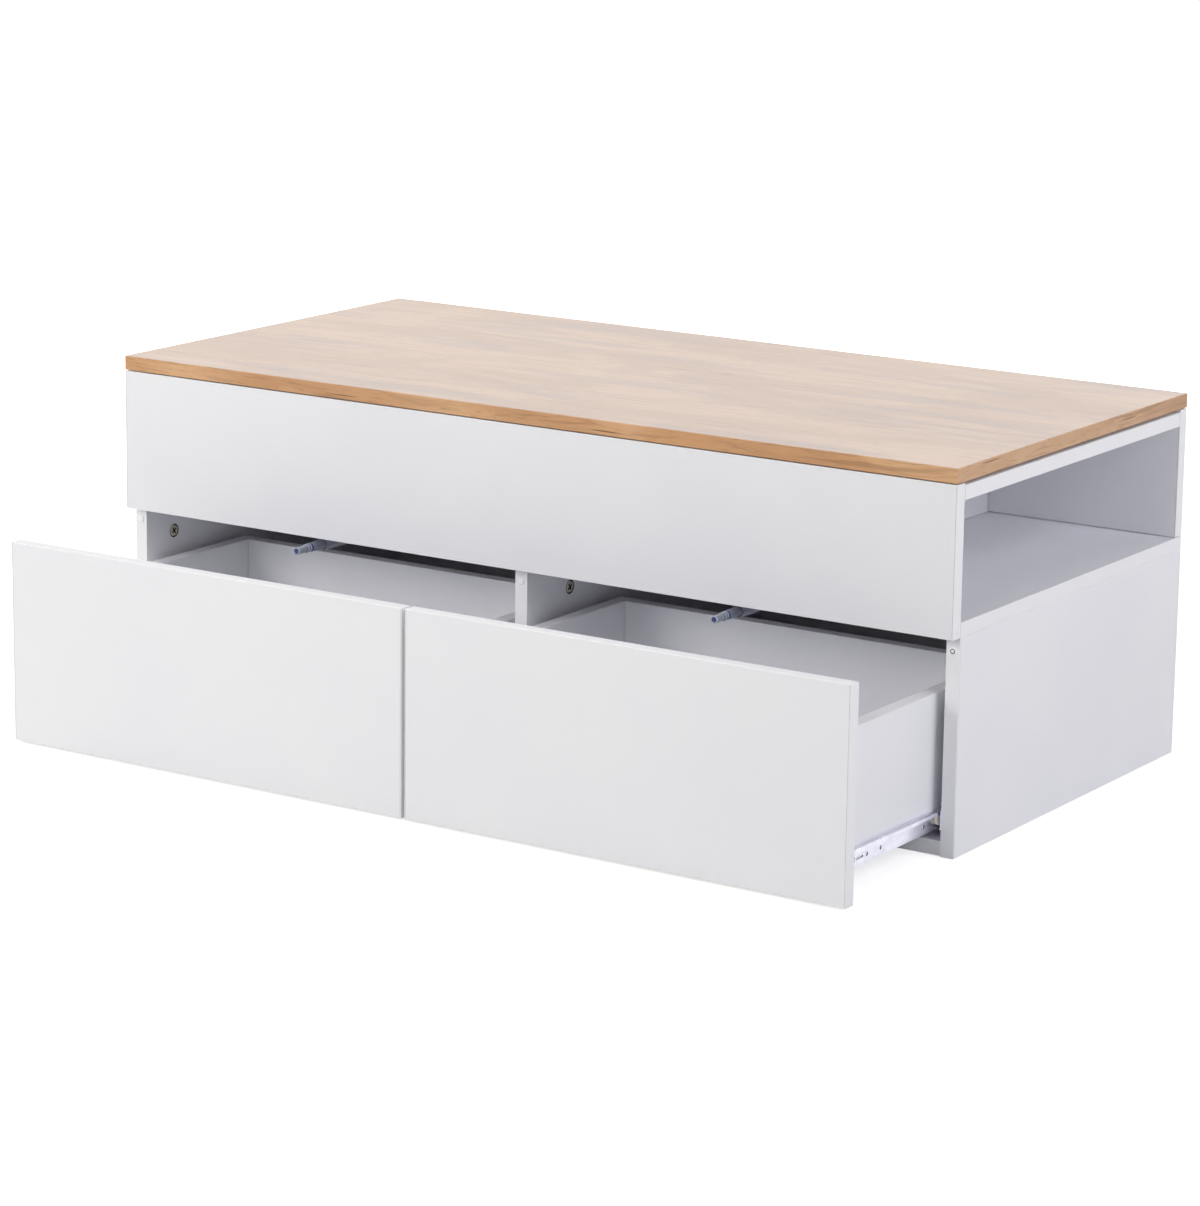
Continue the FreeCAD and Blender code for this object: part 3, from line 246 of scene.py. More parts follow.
def ease(tree, value, low, high, from_value=0.0, to_value=1.0):
    """A value eased from one level to another between two limits."""
    sockets = {"Value": value, "From Min": low, "From Max": high, "To Min": from_value, "To Max": to_value}
    return add(tree, "MapRange", sockets, interpolation_type="SMOOTHSTEP").outputs["Result"]


def mixed(tree, share, first, second, way="MIX"):
    """Two colours mixed by a mask."""
    return add(tree, "Mix", {0: share, 6: first, 7: second}, data_type="RGBA", blend_type=way).outputs[2]


def node_group(name, colours, values):
    """A shader node group, still empty, that makes a surface from a place, some colours and some values."""
    tree = bpy.data.node_groups.new(name, "ShaderNodeTree")
    inputs = {"Vector": "Vector"} | dict.fromkeys(colours, "Color") | dict.fromkeys(values, "Float")
    outputs = {"Colour": "Color", "Roughness": "Float", "Height": "Float"}
    for way, sockets in (("INPUT", inputs), ("OUTPUT", outputs)):
        for label, kind in sockets.items():
            tree.interface.new_socket(label, in_out=way, socket_type=f"NodeSocket{kind}")
    return tree, tree.nodes.new("NodeGroupInput").outputs


def give(tree, *results):
    """Send a colour, a roughness and a height to the output of a surface group."""
    for result, socket in zip(results, tree.nodes.new("NodeGroupOutput").inputs):
        tree.links.new(result, socket)


def skin_group():
    """Pressed or moulded skin: a fine pearl, broad soft mottling and uneven gloss."""
    tree, given = node_group("pressed_skin", ("Colour", "Shade"), ("Pearl", "Smooth", "Rough"))
    broad = noise(tree, given["Vector"], 7.0, 3.0, 0.55)
    fine = noise(tree, given["Vector"], given["Pearl"], 1.0, 0.5)
    pits = add(tree, "TexVoronoi", {"Vector": given["Vector"], "Scale": given["Pearl"]}).outputs["Distance"]
    mask = maths(tree, "MULTIPLY", ease(tree, broad, 0.3, 0.7), ease(tree, fine, 0.2, 0.8, 0.6, 1.0))
    gloss = add(tree, "MapRange", {0: broad, 1: 0.3, 2: 0.7, 3: given["Smooth"], 4: given["Rough"]})
    height = maths(tree, "ADD", fine, maths(tree, "MULTIPLY", pits, 0.5))
    give(tree, mixed(tree, mask, given["Colour"], given["Shade"]), gloss.outputs["Result"], height)


OAK_COLOURS = ("Pale", "Brown", "Grey", "Pore")


def oak_group():
    """Printed oak: grain along X in pale, brown and grey clouds, with veins, lines, pores and strokes."""
    tree, given = node_group("oak_print", OAK_COLOURS, ("Lines", "Strokes", "Stroke Share"))
    broad = stretch(tree, given["Vector"], (2.6, 6.0, 6.0))
    sway = add(tree, "TexNoise", {"Vector": broad, "Scale": 1.0, "Detail": 3.0}).outputs["Color"]
    sway = add(tree, "VectorMath", {0: sway, 1: (0.5, 0.5, 0.5)}, operation="SUBTRACT").outputs[0]
    sway = add(tree, "VectorMath", {0: sway, 1: (0.0, 0.05, 0.05)}, operation="MULTIPLY").outputs[0]
    place = add(tree, "VectorMath", {0: given["Vector"], 1: sway}, operation="ADD").outputs[0]
    clouds = noise(tree, stretch(tree, place, (4.6, 12.0, 12.0)), 1.0, 4.0, 0.6, 0.6)
    streaks = noise(tree, stretch(tree, place, (3.4, 21.0, 21.0), (3.1, 7.7, 1.3)), 1.0, 4.0, 0.6, 0.7)
    veins = noise(tree, stretch(tree, place, (2.4, 80.0, 80.0), (1.7, 4.3, 8.1)), 1.0, 2.0, 0.5)
    lines = noise(tree, stretch(tree, place, (6.0, 260.0, 260.0)), 1.0, 3.0, 0.6)
    pores = noise(tree, stretch(tree, place, (38.0, 900.0, 900.0)), 1.0, 1.0)
    made = mixed(tree, ease(tree, clouds, 0.38, 0.60), given["Brown"], given["Pale"])
    made = mixed(tree, maths(tree, "MULTIPLY", ease(tree, streaks, 0.46, 0.70), 0.7), made, given["Grey"])
    vein = maths(tree, "MULTIPLY", ease(tree, veins, 0.66, 0.76), given["Lines"])
    fine = maths(tree, "MULTIPLY", ease(tree, lines, 0.50, 0.72), given["Lines"])
    fine = maths(tree, "MAXIMUM", vein, fine)
    made = mixed(tree, fine, made, given["Pore"])
    specks = maths(tree, "MULTIPLY", ease(tree, pores, 0.60, 0.74), 0.35)
    made = mixed(tree, specks, made, given["Pore"])
    parts = add(tree, "SeparateXYZ", {0: given["Vector"]}).outputs
    across = maths(tree, "MULTIPLY", maths(tree, "ADD", parts["Y"], parts["Z"]), 88.0)
    along = maths(tree, "MULTIPLY", parts["X"], 3.5)
    cells = add(tree, "CombineXYZ", {"X": along, "Y": across}).outputs[0]
    spots = add(tree, "TexVoronoi", {"Vector": cells, "Scale": 1.0}, voronoi_dimensions="2D").outputs
    chance = add(tree, "SeparateXYZ", {0: spots["Color"]}).outputs["X"]
    picked = maths(tree, "LESS_THAN", chance, given["Stroke Share"])
    picked = maths(tree, "MULTIPLY", picked, given["Strokes"])
    marks = maths(tree, "MULTIPLY", ease(tree, spots["Distance"], 0.03, 0.09, 1.0, 0.0), picked)
    made = mixed(tree, marks, made, given["Pore"])
    sunk = maths(tree, "ADD", fine, maths(tree, "ADD", specks, marks))
    give(tree, made, ease(tree, sunk, 0.0, 0.8, 0.40, 0.62), maths(tree, "SUBTRACT", 1.0, sunk))


def steel_group():
    """Plated or bare metal: cloudy plating, fine drawing lines along Y and small specks."""
    tree, given = node_group("worked_metal", ("Colour", "Shade"), ("Cloud", "Smooth", "Rough"))
    cloud = noise(tree, given["Vector"], given["Cloud"], 3.0, 0.6)
    drawn = noise(tree, stretch(tree, given["Vector"], (1500.0, 14.0, 1500.0)), 1.0, 2.0)
    specks = noise(tree, given["Vector"], 900.0, 1.0)
    worn = maths(tree, "ADD", maths(tree, "MULTIPLY", cloud, 0.7), maths(tree, "MULTIPLY", drawn, 0.3))
    mask = ease(tree, worn, 0.35, 0.65)
    gloss = add(tree, "MapRange", {0: mask, 1: 0.0, 2: 1.0, 3: given["Smooth"], 4: given["Rough"]})
    height = maths(tree, "ADD", drawn, maths(tree, "MULTIPLY", specks, 0.6))
    give(tree, mixed(tree, mask, given["Colour"], given["Shade"]), gloss.outputs["Result"], height)


# Materials


def fresh_tree(owner):
    """The emptied node tree of a material or a world."""
    owner.use_nodes = True
    owner.node_tree.nodes.clear()
    return owner.node_tree


def finish(name, group, values, bump, turn=0.0, **plain):
    """A material with the colour, gloss and relief of a node group. The bump is (millimetres, strength)."""
    tree = fresh_tree(bpy.data.materials.new(name))
    place = add(tree, "TexCoord").outputs["Object"]
    if turn:
        place = add(tree, "Mapping", {"Vector": place, "Rotation": (0.0, 0.0, turn)}).outputs["Vector"]
    made = bpy.data.node_groups[group]
    surface = add(tree, "Group", {"Vector": place} | values, node_tree=made).outputs
    relief = {"Distance": bump[0] * MM, "Strength": bump[1], "Height": surface["Height"]}
    sockets = {label.replace("_", " "): value for label, value in plain.items()}
    sockets |= {"Base Color": surface["Colour"], "Roughness": surface["Roughness"]}
    sockets["Normal"] = add(tree, "Bump", relief).outputs["Normal"]
    shader = add(tree, "BsdfPrincipled", sockets)
    add(tree, "OutputMaterial", {"Surface": shader.outputs["BSDF"]})


def tones(main, shade):
    """The values of a main colour and its shade."""
    paints = bpy.context.scene.table_colours
    return {"Colour": getattr(paints, main), "Shade": getattr(paints, shade)}


def skin(name, main, shade, pearl, smooth, rough, bump, **plain):
    """A pressed or moulded finish."""
    values = tones(main, shade) | {"Pearl": pearl, "Smooth": smooth, "Rough": rough}
    finish(name, "pressed_skin", values, bump, **plain)


def metal(name, main, shade, cloud, smooth, rough, bump, metallic=1.0):
    """A plated or bare metal finish."""
    values = tones(main, shade) | {"Cloud": cloud, "Smooth": smooth, "Rough": rough}
    finish(name, "worked_metal", values, bump, Metallic=metallic)


def oak(name, kind, lines, strokes, share, turn=0.0, **plain):
    """A printed oak finish with its grain along X, or along Y when turned."""
    paints = bpy.context.scene.table_colours
    values = {label: getattr(paints, f"{kind}_{label.lower()}") for label in OAK_COLOURS}
    values |= {"Lines": lines, "Strokes": strokes, "Stroke Share": share}
    finish(name, "oak_print", values, (0.1, 0.35), turn, **plain)


class TABLE_OT_finishes(bpy.types.Operator):
    """Make every finish of the table"""

    bl_idname = "table.finishes"
    bl_label = "Finishes"

    def execute(self, context):
        skin_group()
        oak_group()
        steel_group()
        skin("white_face", "white", "white_shade", 1400.0, 0.36, 0.46, (0.05, 0.12), IOR=1.5)
        skin("white_band", "band_white", "white", 700.0, 0.30, 0.40, (0.05, 0.10), IOR=1.5)
        skin("glue_line", "glue", "chip", 900.0, 0.55, 0.75, (0.1, 0.3))
        skin("chipboard", "chip", "chip_dark", 600.0, 0.75, 0.95, (0.5, 0.7))
        skin("drawer_floor", "white", "white_shade", 500.0, 0.42, 0.55, (0.08, 0.2), IOR=1.5)
        oak("oak_face", "oak", 0.24, 0.6, 0.05, IOR=1.52, Coat_Weight=0.7, Coat_Roughness=0.28)
        oak("oak_band", "edge", 0.36, 0.8, 1.0, IOR=1.5)
        oak("oak_band_end", "end", 0.36, 0.8, 1.0, radians(90), IOR=1.5)
        metal("zinc_rail", "zinc", "zinc_dull", 45.0, 0.26, 0.42, (0.04, 0.2))
        metal("cam_cast", "cam", "cam_shade", 420.0, 0.3, 0.5, (0.1, 0.3), 0.15)
        # Painted shade for the recesses, the holes and the rims of the cams.
        metal("cam_rim", "recess", "recess_deep_shade", 500.0, 0.45, 0.65, (0.1, 0.3), 0.3)
        metal("screw_plate", "steel", "steel_dull", 600.0, 0.24, 0.40, (0.04, 0.2))
        metal("pin_plate", "steel", "steel_dull", 120.0, 0.22, 0.36, (0.04, 0.2))
        metal("spring_wire", "steel_dull", "steel", 200.0, 0.22, 0.34, (0.03, 0.2))
        skin("lift_paint", "lift", "lift_dark", 1100.0, 0.40, 0.56, (0.08, 0.35), Coat_Weight=0.15)
        skin("latch_plastic", "latch", "latch_dark", 900.0, 0.34, 0.48, (0.06, 0.25))
        skin("plunger_plastic", "plunger", "plunger_shade", 900.0, 0.30, 0.42, (0.05, 0.2))
        # The sunken end of the tip, and painted shade on the neck behind the collars.
        skin("plunger_end", "end_blue", "end_blue_deeper", 900.0, 0.35, 0.5, (0.06, 0.25))
        # Painted highlight on the nose rim and the collar crests, beside their real gloss.
        skin("plunger_collar", "collar", "plunger", 900.0, 0.12, 0.2, (0.04, 0.15))
        skin("plunger_shaft", "shaft", "shaft_dark", 900.0, 0.34, 0.48, (0.06, 0.25))
        # Painted shade in the rib valleys, beside the collars and on every other flute.
        skin("plunger_groove", "shaft_dark", "latch_dark", 900.0, 0.4, 0.55, (0.06, 0.25))
        skin("roller_plastic", "roller", "roller_dark", 700.0, 0.36, 0.5, (0.08, 0.3))
        skin("clear_gel", "clear", "white", 500.0, 0.30, 0.40, (0.04, 0.15), IOR=1.46)
        # Painted shade for the ring on one bumper's crown.
        skin("gel_ring", "recess", "lift_dark", 500.0, 0.30, 0.40, (0.04, 0.15), IOR=1.46)
        return {"FINISHED"}


# Meshes


def baked(name, made):
    """A mesh from a bmesh, which is freed."""
    mesh = bpy.data.meshes.new(name)
    made.to_mesh(mesh)
    made.free()
    return mesh


def put(name, data):
    """A new object in the scene."""
    thing = bpy.data.objects.new(name, data)
    bpy.context.scene.collection.objects.link(thing)
    return thing


def smooth_over(mesh, degrees):
    """Shade a mesh smooth, apart from edges sharper than an angle."""
    mesh.shade_smooth()
    mesh.set_sharp_from_angle(angle=radians(degrees))


def shape(name, made, finishes, smooth=None):
    """An object from a finished bmesh, with its finishes."""
    bmesh.ops.recalc_face_normals(made, faces=made.faces[:])
    mesh = baked(name, made)
    for label in finishes:
        mesh.materials.append(bpy.data.materials[label])
    if smooth:
        smooth_over(mesh, smooth)
    return put(name, mesh)


def seat(thing, body, slot, *nodes):
    """Put a piece in the place of its CAD nodes, on their body."""
    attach(thing, body)
    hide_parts(*nodes)


def brick(low, high):
    """A block between two corners."""
    made = bmesh.new()
    bmesh.ops.create_cube(made, size=1.0)
    low, high = Vector(low), Vector(high)
    bmesh.ops.scale(made, vec=high - low, verts=made.verts[:])
    bmesh.ops.translate(made, vec=(low + high) / 2, verts=made.verts[:])
    return made


def turned_faces(made):
    """Each face of a mesh turned about X, with its place along, its radius and its turn."""
    for face in made.faces:
        spot = face.calc_center_median()
        yield face, spot.x, hypot(spot.y, spot.z), atan2(spot.z, spot.y)


def ease_edges(made, width):
    """Round every edge."""
    bmesh.ops.bevel(made, geom=made.edges[:], offset=width, segments=2, profile=0.5, affect="EDGES")


def circle(steps):
    """The (cos, sin) pairs of a full turn in equal steps."""
    return [(cos(2 * pi * step / steps), sin(2 * pi * step / steps)) for step in range(steps)]


def lathe(points, steps=None, closed=False, unit=MM):
    """A mesh turned about X through (along, radius) points, in millimetres unless another unit is given."""
    steps = steps or bpy.context.scene.table_sizes.round_steps
    made = bmesh.new()
    rings = []
    for along, radius in points:
        along, radius = along * unit, radius * unit
        if radius < 1e-7:
            rings.append([made.verts.new((along, 0.0, 0.0))])
            continue
        rings.append([made.verts.new((along, radius * x, radius * y)) for x, y in circle(steps)])
    for first, second in zip(rings, rings[1:] + rings[:1] if closed else rings[1:]):
        for step in range(steps):
            after = step + 1
            corners = (
                first[step % len(first)], second[step % len(second)],
                second[after % len(second)], first[after % len(first)],
            )
            made.faces.new(list(dict.fromkeys(corners)))
    bmesh.ops.recalc_face_normals(made, faces=made.faces[:])
    return made


def prism(outline, low, high, axis=1):
    """A flat outline pushed along an axis. Its two values go to the other axes in turn."""
    made = bmesh.new()
    near, far = (
        [made.verts.new((*pair[:axis], along, *pair[axis:])) for pair in outline] for along in (low, high)
    )
    made.faces.new(near)
    made.faces.new(far)
    for step in range(len(outline)):
        after = (step + 1) % len(outline)
        made.faces.new((near[step], near[after], far[after], far[step]))
    bmesh.ops.recalc_face_normals(made, faces=made.faces[:])
    return made


# Just under half a side, so that the roundings of two corners never meet.
HALF_SIDE = 0.49


def rounded(corners, radius, steps=5, closed=False):
    """A path or outline with its corners rounded."""
    points = [Vector(corner) for corner in corners]
    count = len(points)
    path = []
    for index, point in enumerate(points):
        if not closed and index in (0, count - 1):
            path.append(point)
            continue
        before, after = points[index - 1] - point, points[(index + 1) % count] - point
        reach = min(radius, before.length * HALF_SIDE, after.length * HALF_SIDE)
        start, end = point + before.normalized() * reach, point + after.normalized() * reach
        for step in range(steps + 1):
            share = step / steps
            path.append(start * (1 - share) ** 2 + point * 2 * share * (1 - share) + end * share**2)
    return path


def ways(path):
    """Each point of a path, with the direction of the path there."""
    for index, point in enumerate(path):
        before, after = path[max(index - 1, 0)], path[min(index + 1, len(path) - 1)]
        yield point, (after - before).normalized()


def bent_sheet(path, thickness):
    """The outline of a sheet bent along a path."""
    left, right = [], []
    for point, way in ways(path):
        side = Vector((-way.y, way.x)) * thickness / 2
        left.append(point + side)
        right.append(point - side)
    return left + right[::-1]


def tube(path, radius, steps=12):
    """A round wire along a path."""
    made = bmesh.new()
    rings = []
    side = None
    for point, way in ways(path):
        side = side or way.orthogonal().normalized()
        side = (side - way * side.dot(way)).normalized()
        other = way.cross(side)
        rings.append([made.verts.new(point + (side * x + other * y) * radius) for x, y in circle(steps)])
    for first, second in zip(rings, rings[1:]):
        for step in range(steps):
            after = (step + 1) % steps
            made.faces.new((first[step], first[after], second[after], second[step]))
    made.faces.new(rings[0][::-1])
    made.faces.new(rings[-1])
    return made


def paint(made, index):
    """Give all faces of a bmesh one finish."""
    for face in made.faces:
        face.material_index = index
    return made


def placed(made, spot, way):
    """A turned bmesh moved to a place, with its X axis along a direction."""
    made.transform(aim(spot, way))
    return made


def collect(target, source):
    """Add one bmesh to another and free it."""
    mesh = baked("passing", source)
    target.from_mesh(mesh)
    bpy.data.meshes.remove(mesh)


def weld(thing, *extras):
    """Add bmeshes to a piece, in its first finish."""
    made = bmesh.new()
    made.from_mesh(thing.data)
    for extra in extras:
        collect(made, paint(extra, METAL))
    made.to_mesh(thing.data)
    made.free()


def stamp(target, mesh, matrix):
    """Add a copy of a mesh at a place."""
    copy = mesh.copy()
    copy.transform(matrix)
    target.from_mesh(copy)
    bpy.data.meshes.remove(copy)


def discard(*things):
    """Remove objects that were only copied from or cut with."""
    for thing in things:
        mesh = thing.data
        bpy.data.objects.remove(thing)
        bpy.data.meshes.remove(mesh)


def carve(thing, cutter):
    """Take a closed bmesh out of a piece."""
    tool = shape("cutter", cutter, ())
    step = thing.modifiers.new("cut", "BOOLEAN")
    step.operation, step.solver, step.object = "DIFFERENCE", "EXACT", tool
    graph = bpy.context.evaluated_depsgraph_get()
    result = bpy.data.meshes.new_from_object(thing.evaluated_get(graph))
    thing.modifiers.remove(step)
    old, thing.data = thing.data, result
    result.name = thing.name
    bpy.data.meshes.remove(old)
    discard(tool)


def aim(point, way):
    """A place whose X axis points along a direction."""
    turn = Vector((1.0, 0.0, 0.0)).rotation_difference(Vector(way))
    return Matrix.Translation(point) @ turn.to_matrix().to_4x4()


def cad_bmesh(node):
    """A copy of a CAD node's mesh with its corners joined."""
    made = bmesh.new()
    made.from_mesh(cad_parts[node].data)
    bmesh.ops.remove_doubles(made, verts=made.verts[:], dist=1e-6)
    return made


def solids(node):
    """The corner points of each separate solid of a CAD node."""
    made = cad_bmesh(node)
    seen, found = set(), []
    for start in made.verts:
        if start in seen:
            continue
        seen.add(start)
        waiting, points = [start], []
        while waiting:
            corner = waiting.pop()
            points.append(corner.co.copy())
            for edge in corner.link_edges:
                other = edge.other_vert(corner)
                if other not in seen:
                    seen.add(other)
                    waiting.append(other)
        found.append(points)
    made.free()
    if not found:
        raise RuntimeError(f"{node} has no solid")
    return found


def measure(points):
    """The lowest and highest corner of some points, their size and their middle."""
    low = Vector(min(point[axis] for point in points) for axis in range(3))
    high = Vector(max(point[axis] for point in points) for axis in range(3))
    return low, high, high - low, (low + high) / 2


def towards(axis, sign=1.0):
    """The direction of an axis."""
    return Vector(sign if index == axis else 0.0 for index in range(3))


def ends_of(points, axis):
    """How many points lie on each end of a solid, and how far out they reach, as two pairs."""
    low, high, _, centre = measure(points)
    found = []
    for level in (low[axis], high[axis]):
        reach = []
        for point in points:
            if abs(point[axis] - level) < 1e-5:
                out = point - centre
                out[axis] = 0.0
                reach.append(out.length)
        found.append((len(reach), max(reach)))
    return found


# Boards, with the cams' sizes in millimetres

CAM_RADIUS, CAM_DEPTH, POCKET_DEPTH = 7.5, 12.5, 12.55


def board(name, node, finishes, banded=True, trim=None):
    """A board with rounded edges, and round each large face an edge band and its glue line.

    On an upright board the glue shows at the two ends. Along the top and the bottom it is only a fine groove.
    """
    sizes = bpy.context.scene.table_sizes
    low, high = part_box(node)
    if trim:
        low = low + Vector(trim[0]) * sizes.joint_gap
        high = high - Vector(trim[1]) * sizes.joint_gap
    size = high - low
    thin = size[:].index(min(size))
    made = brick(low, high)
    ease_edges(made, sizes.board_round if banded else sizes.board_round / 2)
    large = [face for face in made.faces if abs(face.normal[thin]) > 0.999]
    if banded:
        for face in made.faces:
            at_end = abs(face.normal.x) > 0.6 and thin == 2 and len(finishes) > END
            face.material_index = END if at_end else BAND
        for face in large:
            bmesh.ops.inset_region(made, faces=[face], thickness=sizes.band - sizes.board_round)
            for depth in (-sizes.glue_depth, sizes.glue_depth):
                line = bmesh.ops.inset_region(made, faces=[face], thickness=sizes.glue_width / 2, depth=depth)
                for strip in line["faces"]:
                    off_middle = abs(strip.calc_center_median().z - (low.z + high.z) / 2)
                    level = thin != 2 and off_middle > size.z / 4
                    strip.material_index = BAND if level else SEAM
            face.material_index = FACE
    return shape(name, made, finishes)


def cams_in(node, low, high):
    """Face centre and outward direction of each cam of a node that lies in a board's box."""
    found = []
    for points in solids(node):
        near, far, size, centre = measure(points)
        bolt = abs(size.y - size.z) > MM or size.y < 10 * MM
        if bolt or not all(a - MM < c < b + MM for a, c, b in zip(low, centre, high)):
            continue
        below, above = ends_of(points, 0)
        way = 1.0 if above[0] > below[0] else -1.0
        found.append((Vector((far.x if way > 0 else near.x, centre.y, centre.z)), way))
    return found


def drill_pockets(thing, board_node, cam_node):
    """Drill the pockets of a board's cams, with chipboard showing inside."""
    radius, depth = CAM_RADIUS * MM + bpy.context.scene.table_sizes.cam_play, POCKET_DEPTH * MM
    tools = bmesh.new()
    for centre, way in cams_in(cam_node, *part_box(board_node)):
        pocket = lathe([(-depth, 0.0), (-depth, radius), (MM, radius), (MM, 0.0)], unit=1.0)
        collect(tools, paint(placed(pocket, centre, (way, 0, 0)), CORE))
    if tools.verts:
        carve(thing, tools)
    else:
        tools.free()


WHITE = ("white_face", "white_band", "glue_line", "chipboard")
OAK = ("oak_face", "oak_band", "glue_line", "chipboard", "oak_band_end")
CARCASS_BOARDS = (
    "side_panel_left", "side_panel_right", "partition", "bottom_board", "lower_back", "shelf_board",
    "upper_front", "upper_back", "niche_wall_left", "niche_wall_right", "niche_top_left", "niche_top_right",
)
# Joint gaps taken off the low and the high sides of the boards that butt against others.
BUTT_JOINTS = {
    "shelf_board": ((0, 1, 0), (0, 0, 0)),
    "upper_back": ((0, 0, 1), (0, 0, 0)),
    "niche_wall": ((0, 1, 1), (0, 1, 0)),
    "niche_top": ((0, 1, 0), (0, 1, 0)),
}


class TABLE_OT_carcass_boards(bpy.types.Operator):
    """Make the white boards of the carcass"""

    bl_idname = "table.carcass_boards"
    bl_label = "Carcass boards"

    def execute(self, context):
        for node in CARCASS_BOARDS:
            trim = BUTT_JOINTS.get(node.removesuffix("_left").removesuffix("_right"))
            thing = board(f"{node}_board", node, WHITE, trim=trim)
            if node in ("side_panel_left", "side_panel_right", "partition"):
                drill_pockets(thing, node, "cam_locks")
            seat(thing, "carcass", "white_board", node)
        return {"FINISHED"}


class TABLE_OT_drawer_boards(bpy.types.Operator):
    """Make the fronts, sides, backs and bottoms of both drawers"""

    bl_idname = "table.drawer_boards"
    bl_label = "Drawer boards"

    def execute(self, context):
        gap = Vector([context.scene.table_sizes.groove_play] * 3)
        for drawer, _ in SIDES:
            name = f"{drawer}_drawer"
            low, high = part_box(f"{name}_bottom")
            for part in ("front", "left_side", "right_side", "back"):
                node = f"{name}_{part}"
                thing = board(f"{node}_board", node, WHITE)
                carve(thing, paint(brick(low - gap, high + gap), CORE))
                if part.endswith("side"):
                    drill_pockets(thing, node, f"{name}_cam_locks")
                seat(thing, name, "white_board", node)
            thing = board(f"{name}_bottom_panel", f"{name}_bottom", ("drawer_floor",), banded=False)
            seat(thing, name, "drawer_bottom", f"{name}_bottom")
        return {"FINISHED"}


class TABLE_OT_oak_top(bpy.types.Operator):
    """Make the oak-effect top"""

    bl_idname = "table.oak_top"
    bl_label = "Oak top"

    def execute(self, context):
        seat(board("oak_top_board", "top_board", OAK), "tabletop", "oak_top", "top_board")
        return {"FINISHED"}


# Fasteners, in millimetres

CAM_TURN = radians(35)
PAN_HEAD = [
    (0.0, 0.0), (0.0, 1.0), (-0.12, 1.9), (-0.45, 2.7), (-0.95, 3.3), (-1.5, 3.5), (-2.0, 3.45), (-2.0, 1.7),
]
FLUSH_HEAD = [(0.0, 0.0), (0.0, 3.2), (-0.15, 3.45), (-1.2, 1.8)]
PAN_REACH, FLUSH_REACH, LONG_SCREW = -12.0, -10.0, 11
THREAD_PITCH, THREAD_CORE, THREAD_CREST = 0.9, 1.35, 1.72
BOLT_LIMIT, BUMPER_PLAY = 8, 0.05


def cut_cross(thing, span, width, depth):
    """Press a cross recess into a turned piece, painted dark as shade."""
    for turned in (0, 1):
        arm = brick((-depth, -span / 2, -width / 2), (MM, span / 2, width / 2))
        for corner in arm.verts:
            if corner.co.x < 0:
                corner.co.y *= 0.6
                corner.co.z *= 0.8
        arm.transform(Matrix.Rotation(pi / 2 * turned, 4, "X"))
        carve(thing, paint(arm, SHADED_RECESS))


def cam_mesh():
    """One cam with its face at the origin, looking along +X."""
    points = [
        (-CAM_DEPTH, 0.0), (-CAM_DEPTH, 7.1), (-12.1, CAM_RADIUS), (-0.45, CAM_RADIUS), (-0.2, 7.3),
        (-0.15, 6.9), (-0.2, 6.55), (-0.7, 6.35), (-0.7, 6.1), (-0.1, 5.85), (0.0, 5.6), (0.0, 0.0),
    ]
    made = lathe(points)
    for face, _, radius, _ in turned_faces(made):
        # The rim round the cam's face is painted dark, as shade from its pocket.
        if radius > 6.0 * MM:
            face.material_index = SHADED_RECESS
    thing = shape("cam_pattern", made, ("cam_cast", "cam_rim"), CREASE)
    cut_cross(thing, span=9 * MM, width=2.2 * MM, depth=3 * MM)
    for turn in (pi / 4, 3 * pi / 4):
        # The nicks are painted dark as shade.
        nick = brick((-0.5 * MM, 3.6 * MM, -0.5 * MM), (MM, 5.2 * MM, 0.5 * MM))
        nick.transform(Matrix.Rotation(turn, 4, "X"))
        carve(thing, paint(nick, SHADED_RECESS))
    return thing


def screw_mesh(head, reach, recess):
    """One screw with the top of its head at the origin, looking along +X."""
    points = list(head)
    along = points[-1][0] - 0.4
    while along > reach + 2.2:
        points += [(along, THREAD_CORE), (along - 0.35, THREAD_CREST), (along - 0.5, THREAD_CREST)]
        along -= THREAD_PITCH
    points += [(reach + 1.8, 1.2), (reach, 0.0)]
    thing = shape("screw_pattern", lathe(points, 24), ("screw_plate", "cam_rim"), CREASE)
    cut_cross(thing, span=3.6 * MM, width=0.9 * MM, depth=recess * MM)
    return thing


def bolt_bmesh(points):
    """A cam's bolt in the place of its CAD solid, with a waist near its head."""
    low, _, size, start = measure(points)
    axis = size[:].index(max(size))
    radius, reach = min(size) / 2, size[axis]
    outline = [
        (0.0, 0.0), (0.0, radius * 0.8), (0.5 * MM, radius), (3 * MM, radius), (3.4 * MM, radius * 0.7),
        (6 * MM, radius * 0.7), (6.5 * MM, radius * 0.9), (reach - 1.5 * MM, radius * 0.9),
        (reach, radius * 0.5), (reach, 0.0),
    ]
    start[axis] = low[axis]
    return placed(lathe(outline, 20, unit=1.0), start, towards(axis))


class TABLE_OT_cam_locks(bpy.types.Operator):
    """Make the cam locks of the carcass and of both drawers"""

    bl_idname = "table.cam_locks"
    bl_label = "Cam locks"

    def execute(self, context):
        pattern = cam_mesh()
        for node, body in (
            ("cam_locks", "carcass"),
            ("left_drawer_cam_locks", "left_drawer"),
            ("right_drawer_cam_locks", "right_drawer"),
        ):
            made = bmesh.new()
            for centre, way in cams_in(node, *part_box(node)):
                stamp(made, pattern.data, aim(centre, (way, 0, 0)) @ Matrix.Rotation(CAM_TURN, 4, "X"))
            for points in solids(node):
                if min(measure(points)[2]) < BOLT_LIMIT * MM:
                    collect(made, bolt_bmesh(points))
            thing = shape(f"{node}_turned", made, ("cam_cast", "cam_rim"), CREASE)
            seat(thing, body, "cam_zinc", node)
        discard(pattern)
        return {"FINISHED"}


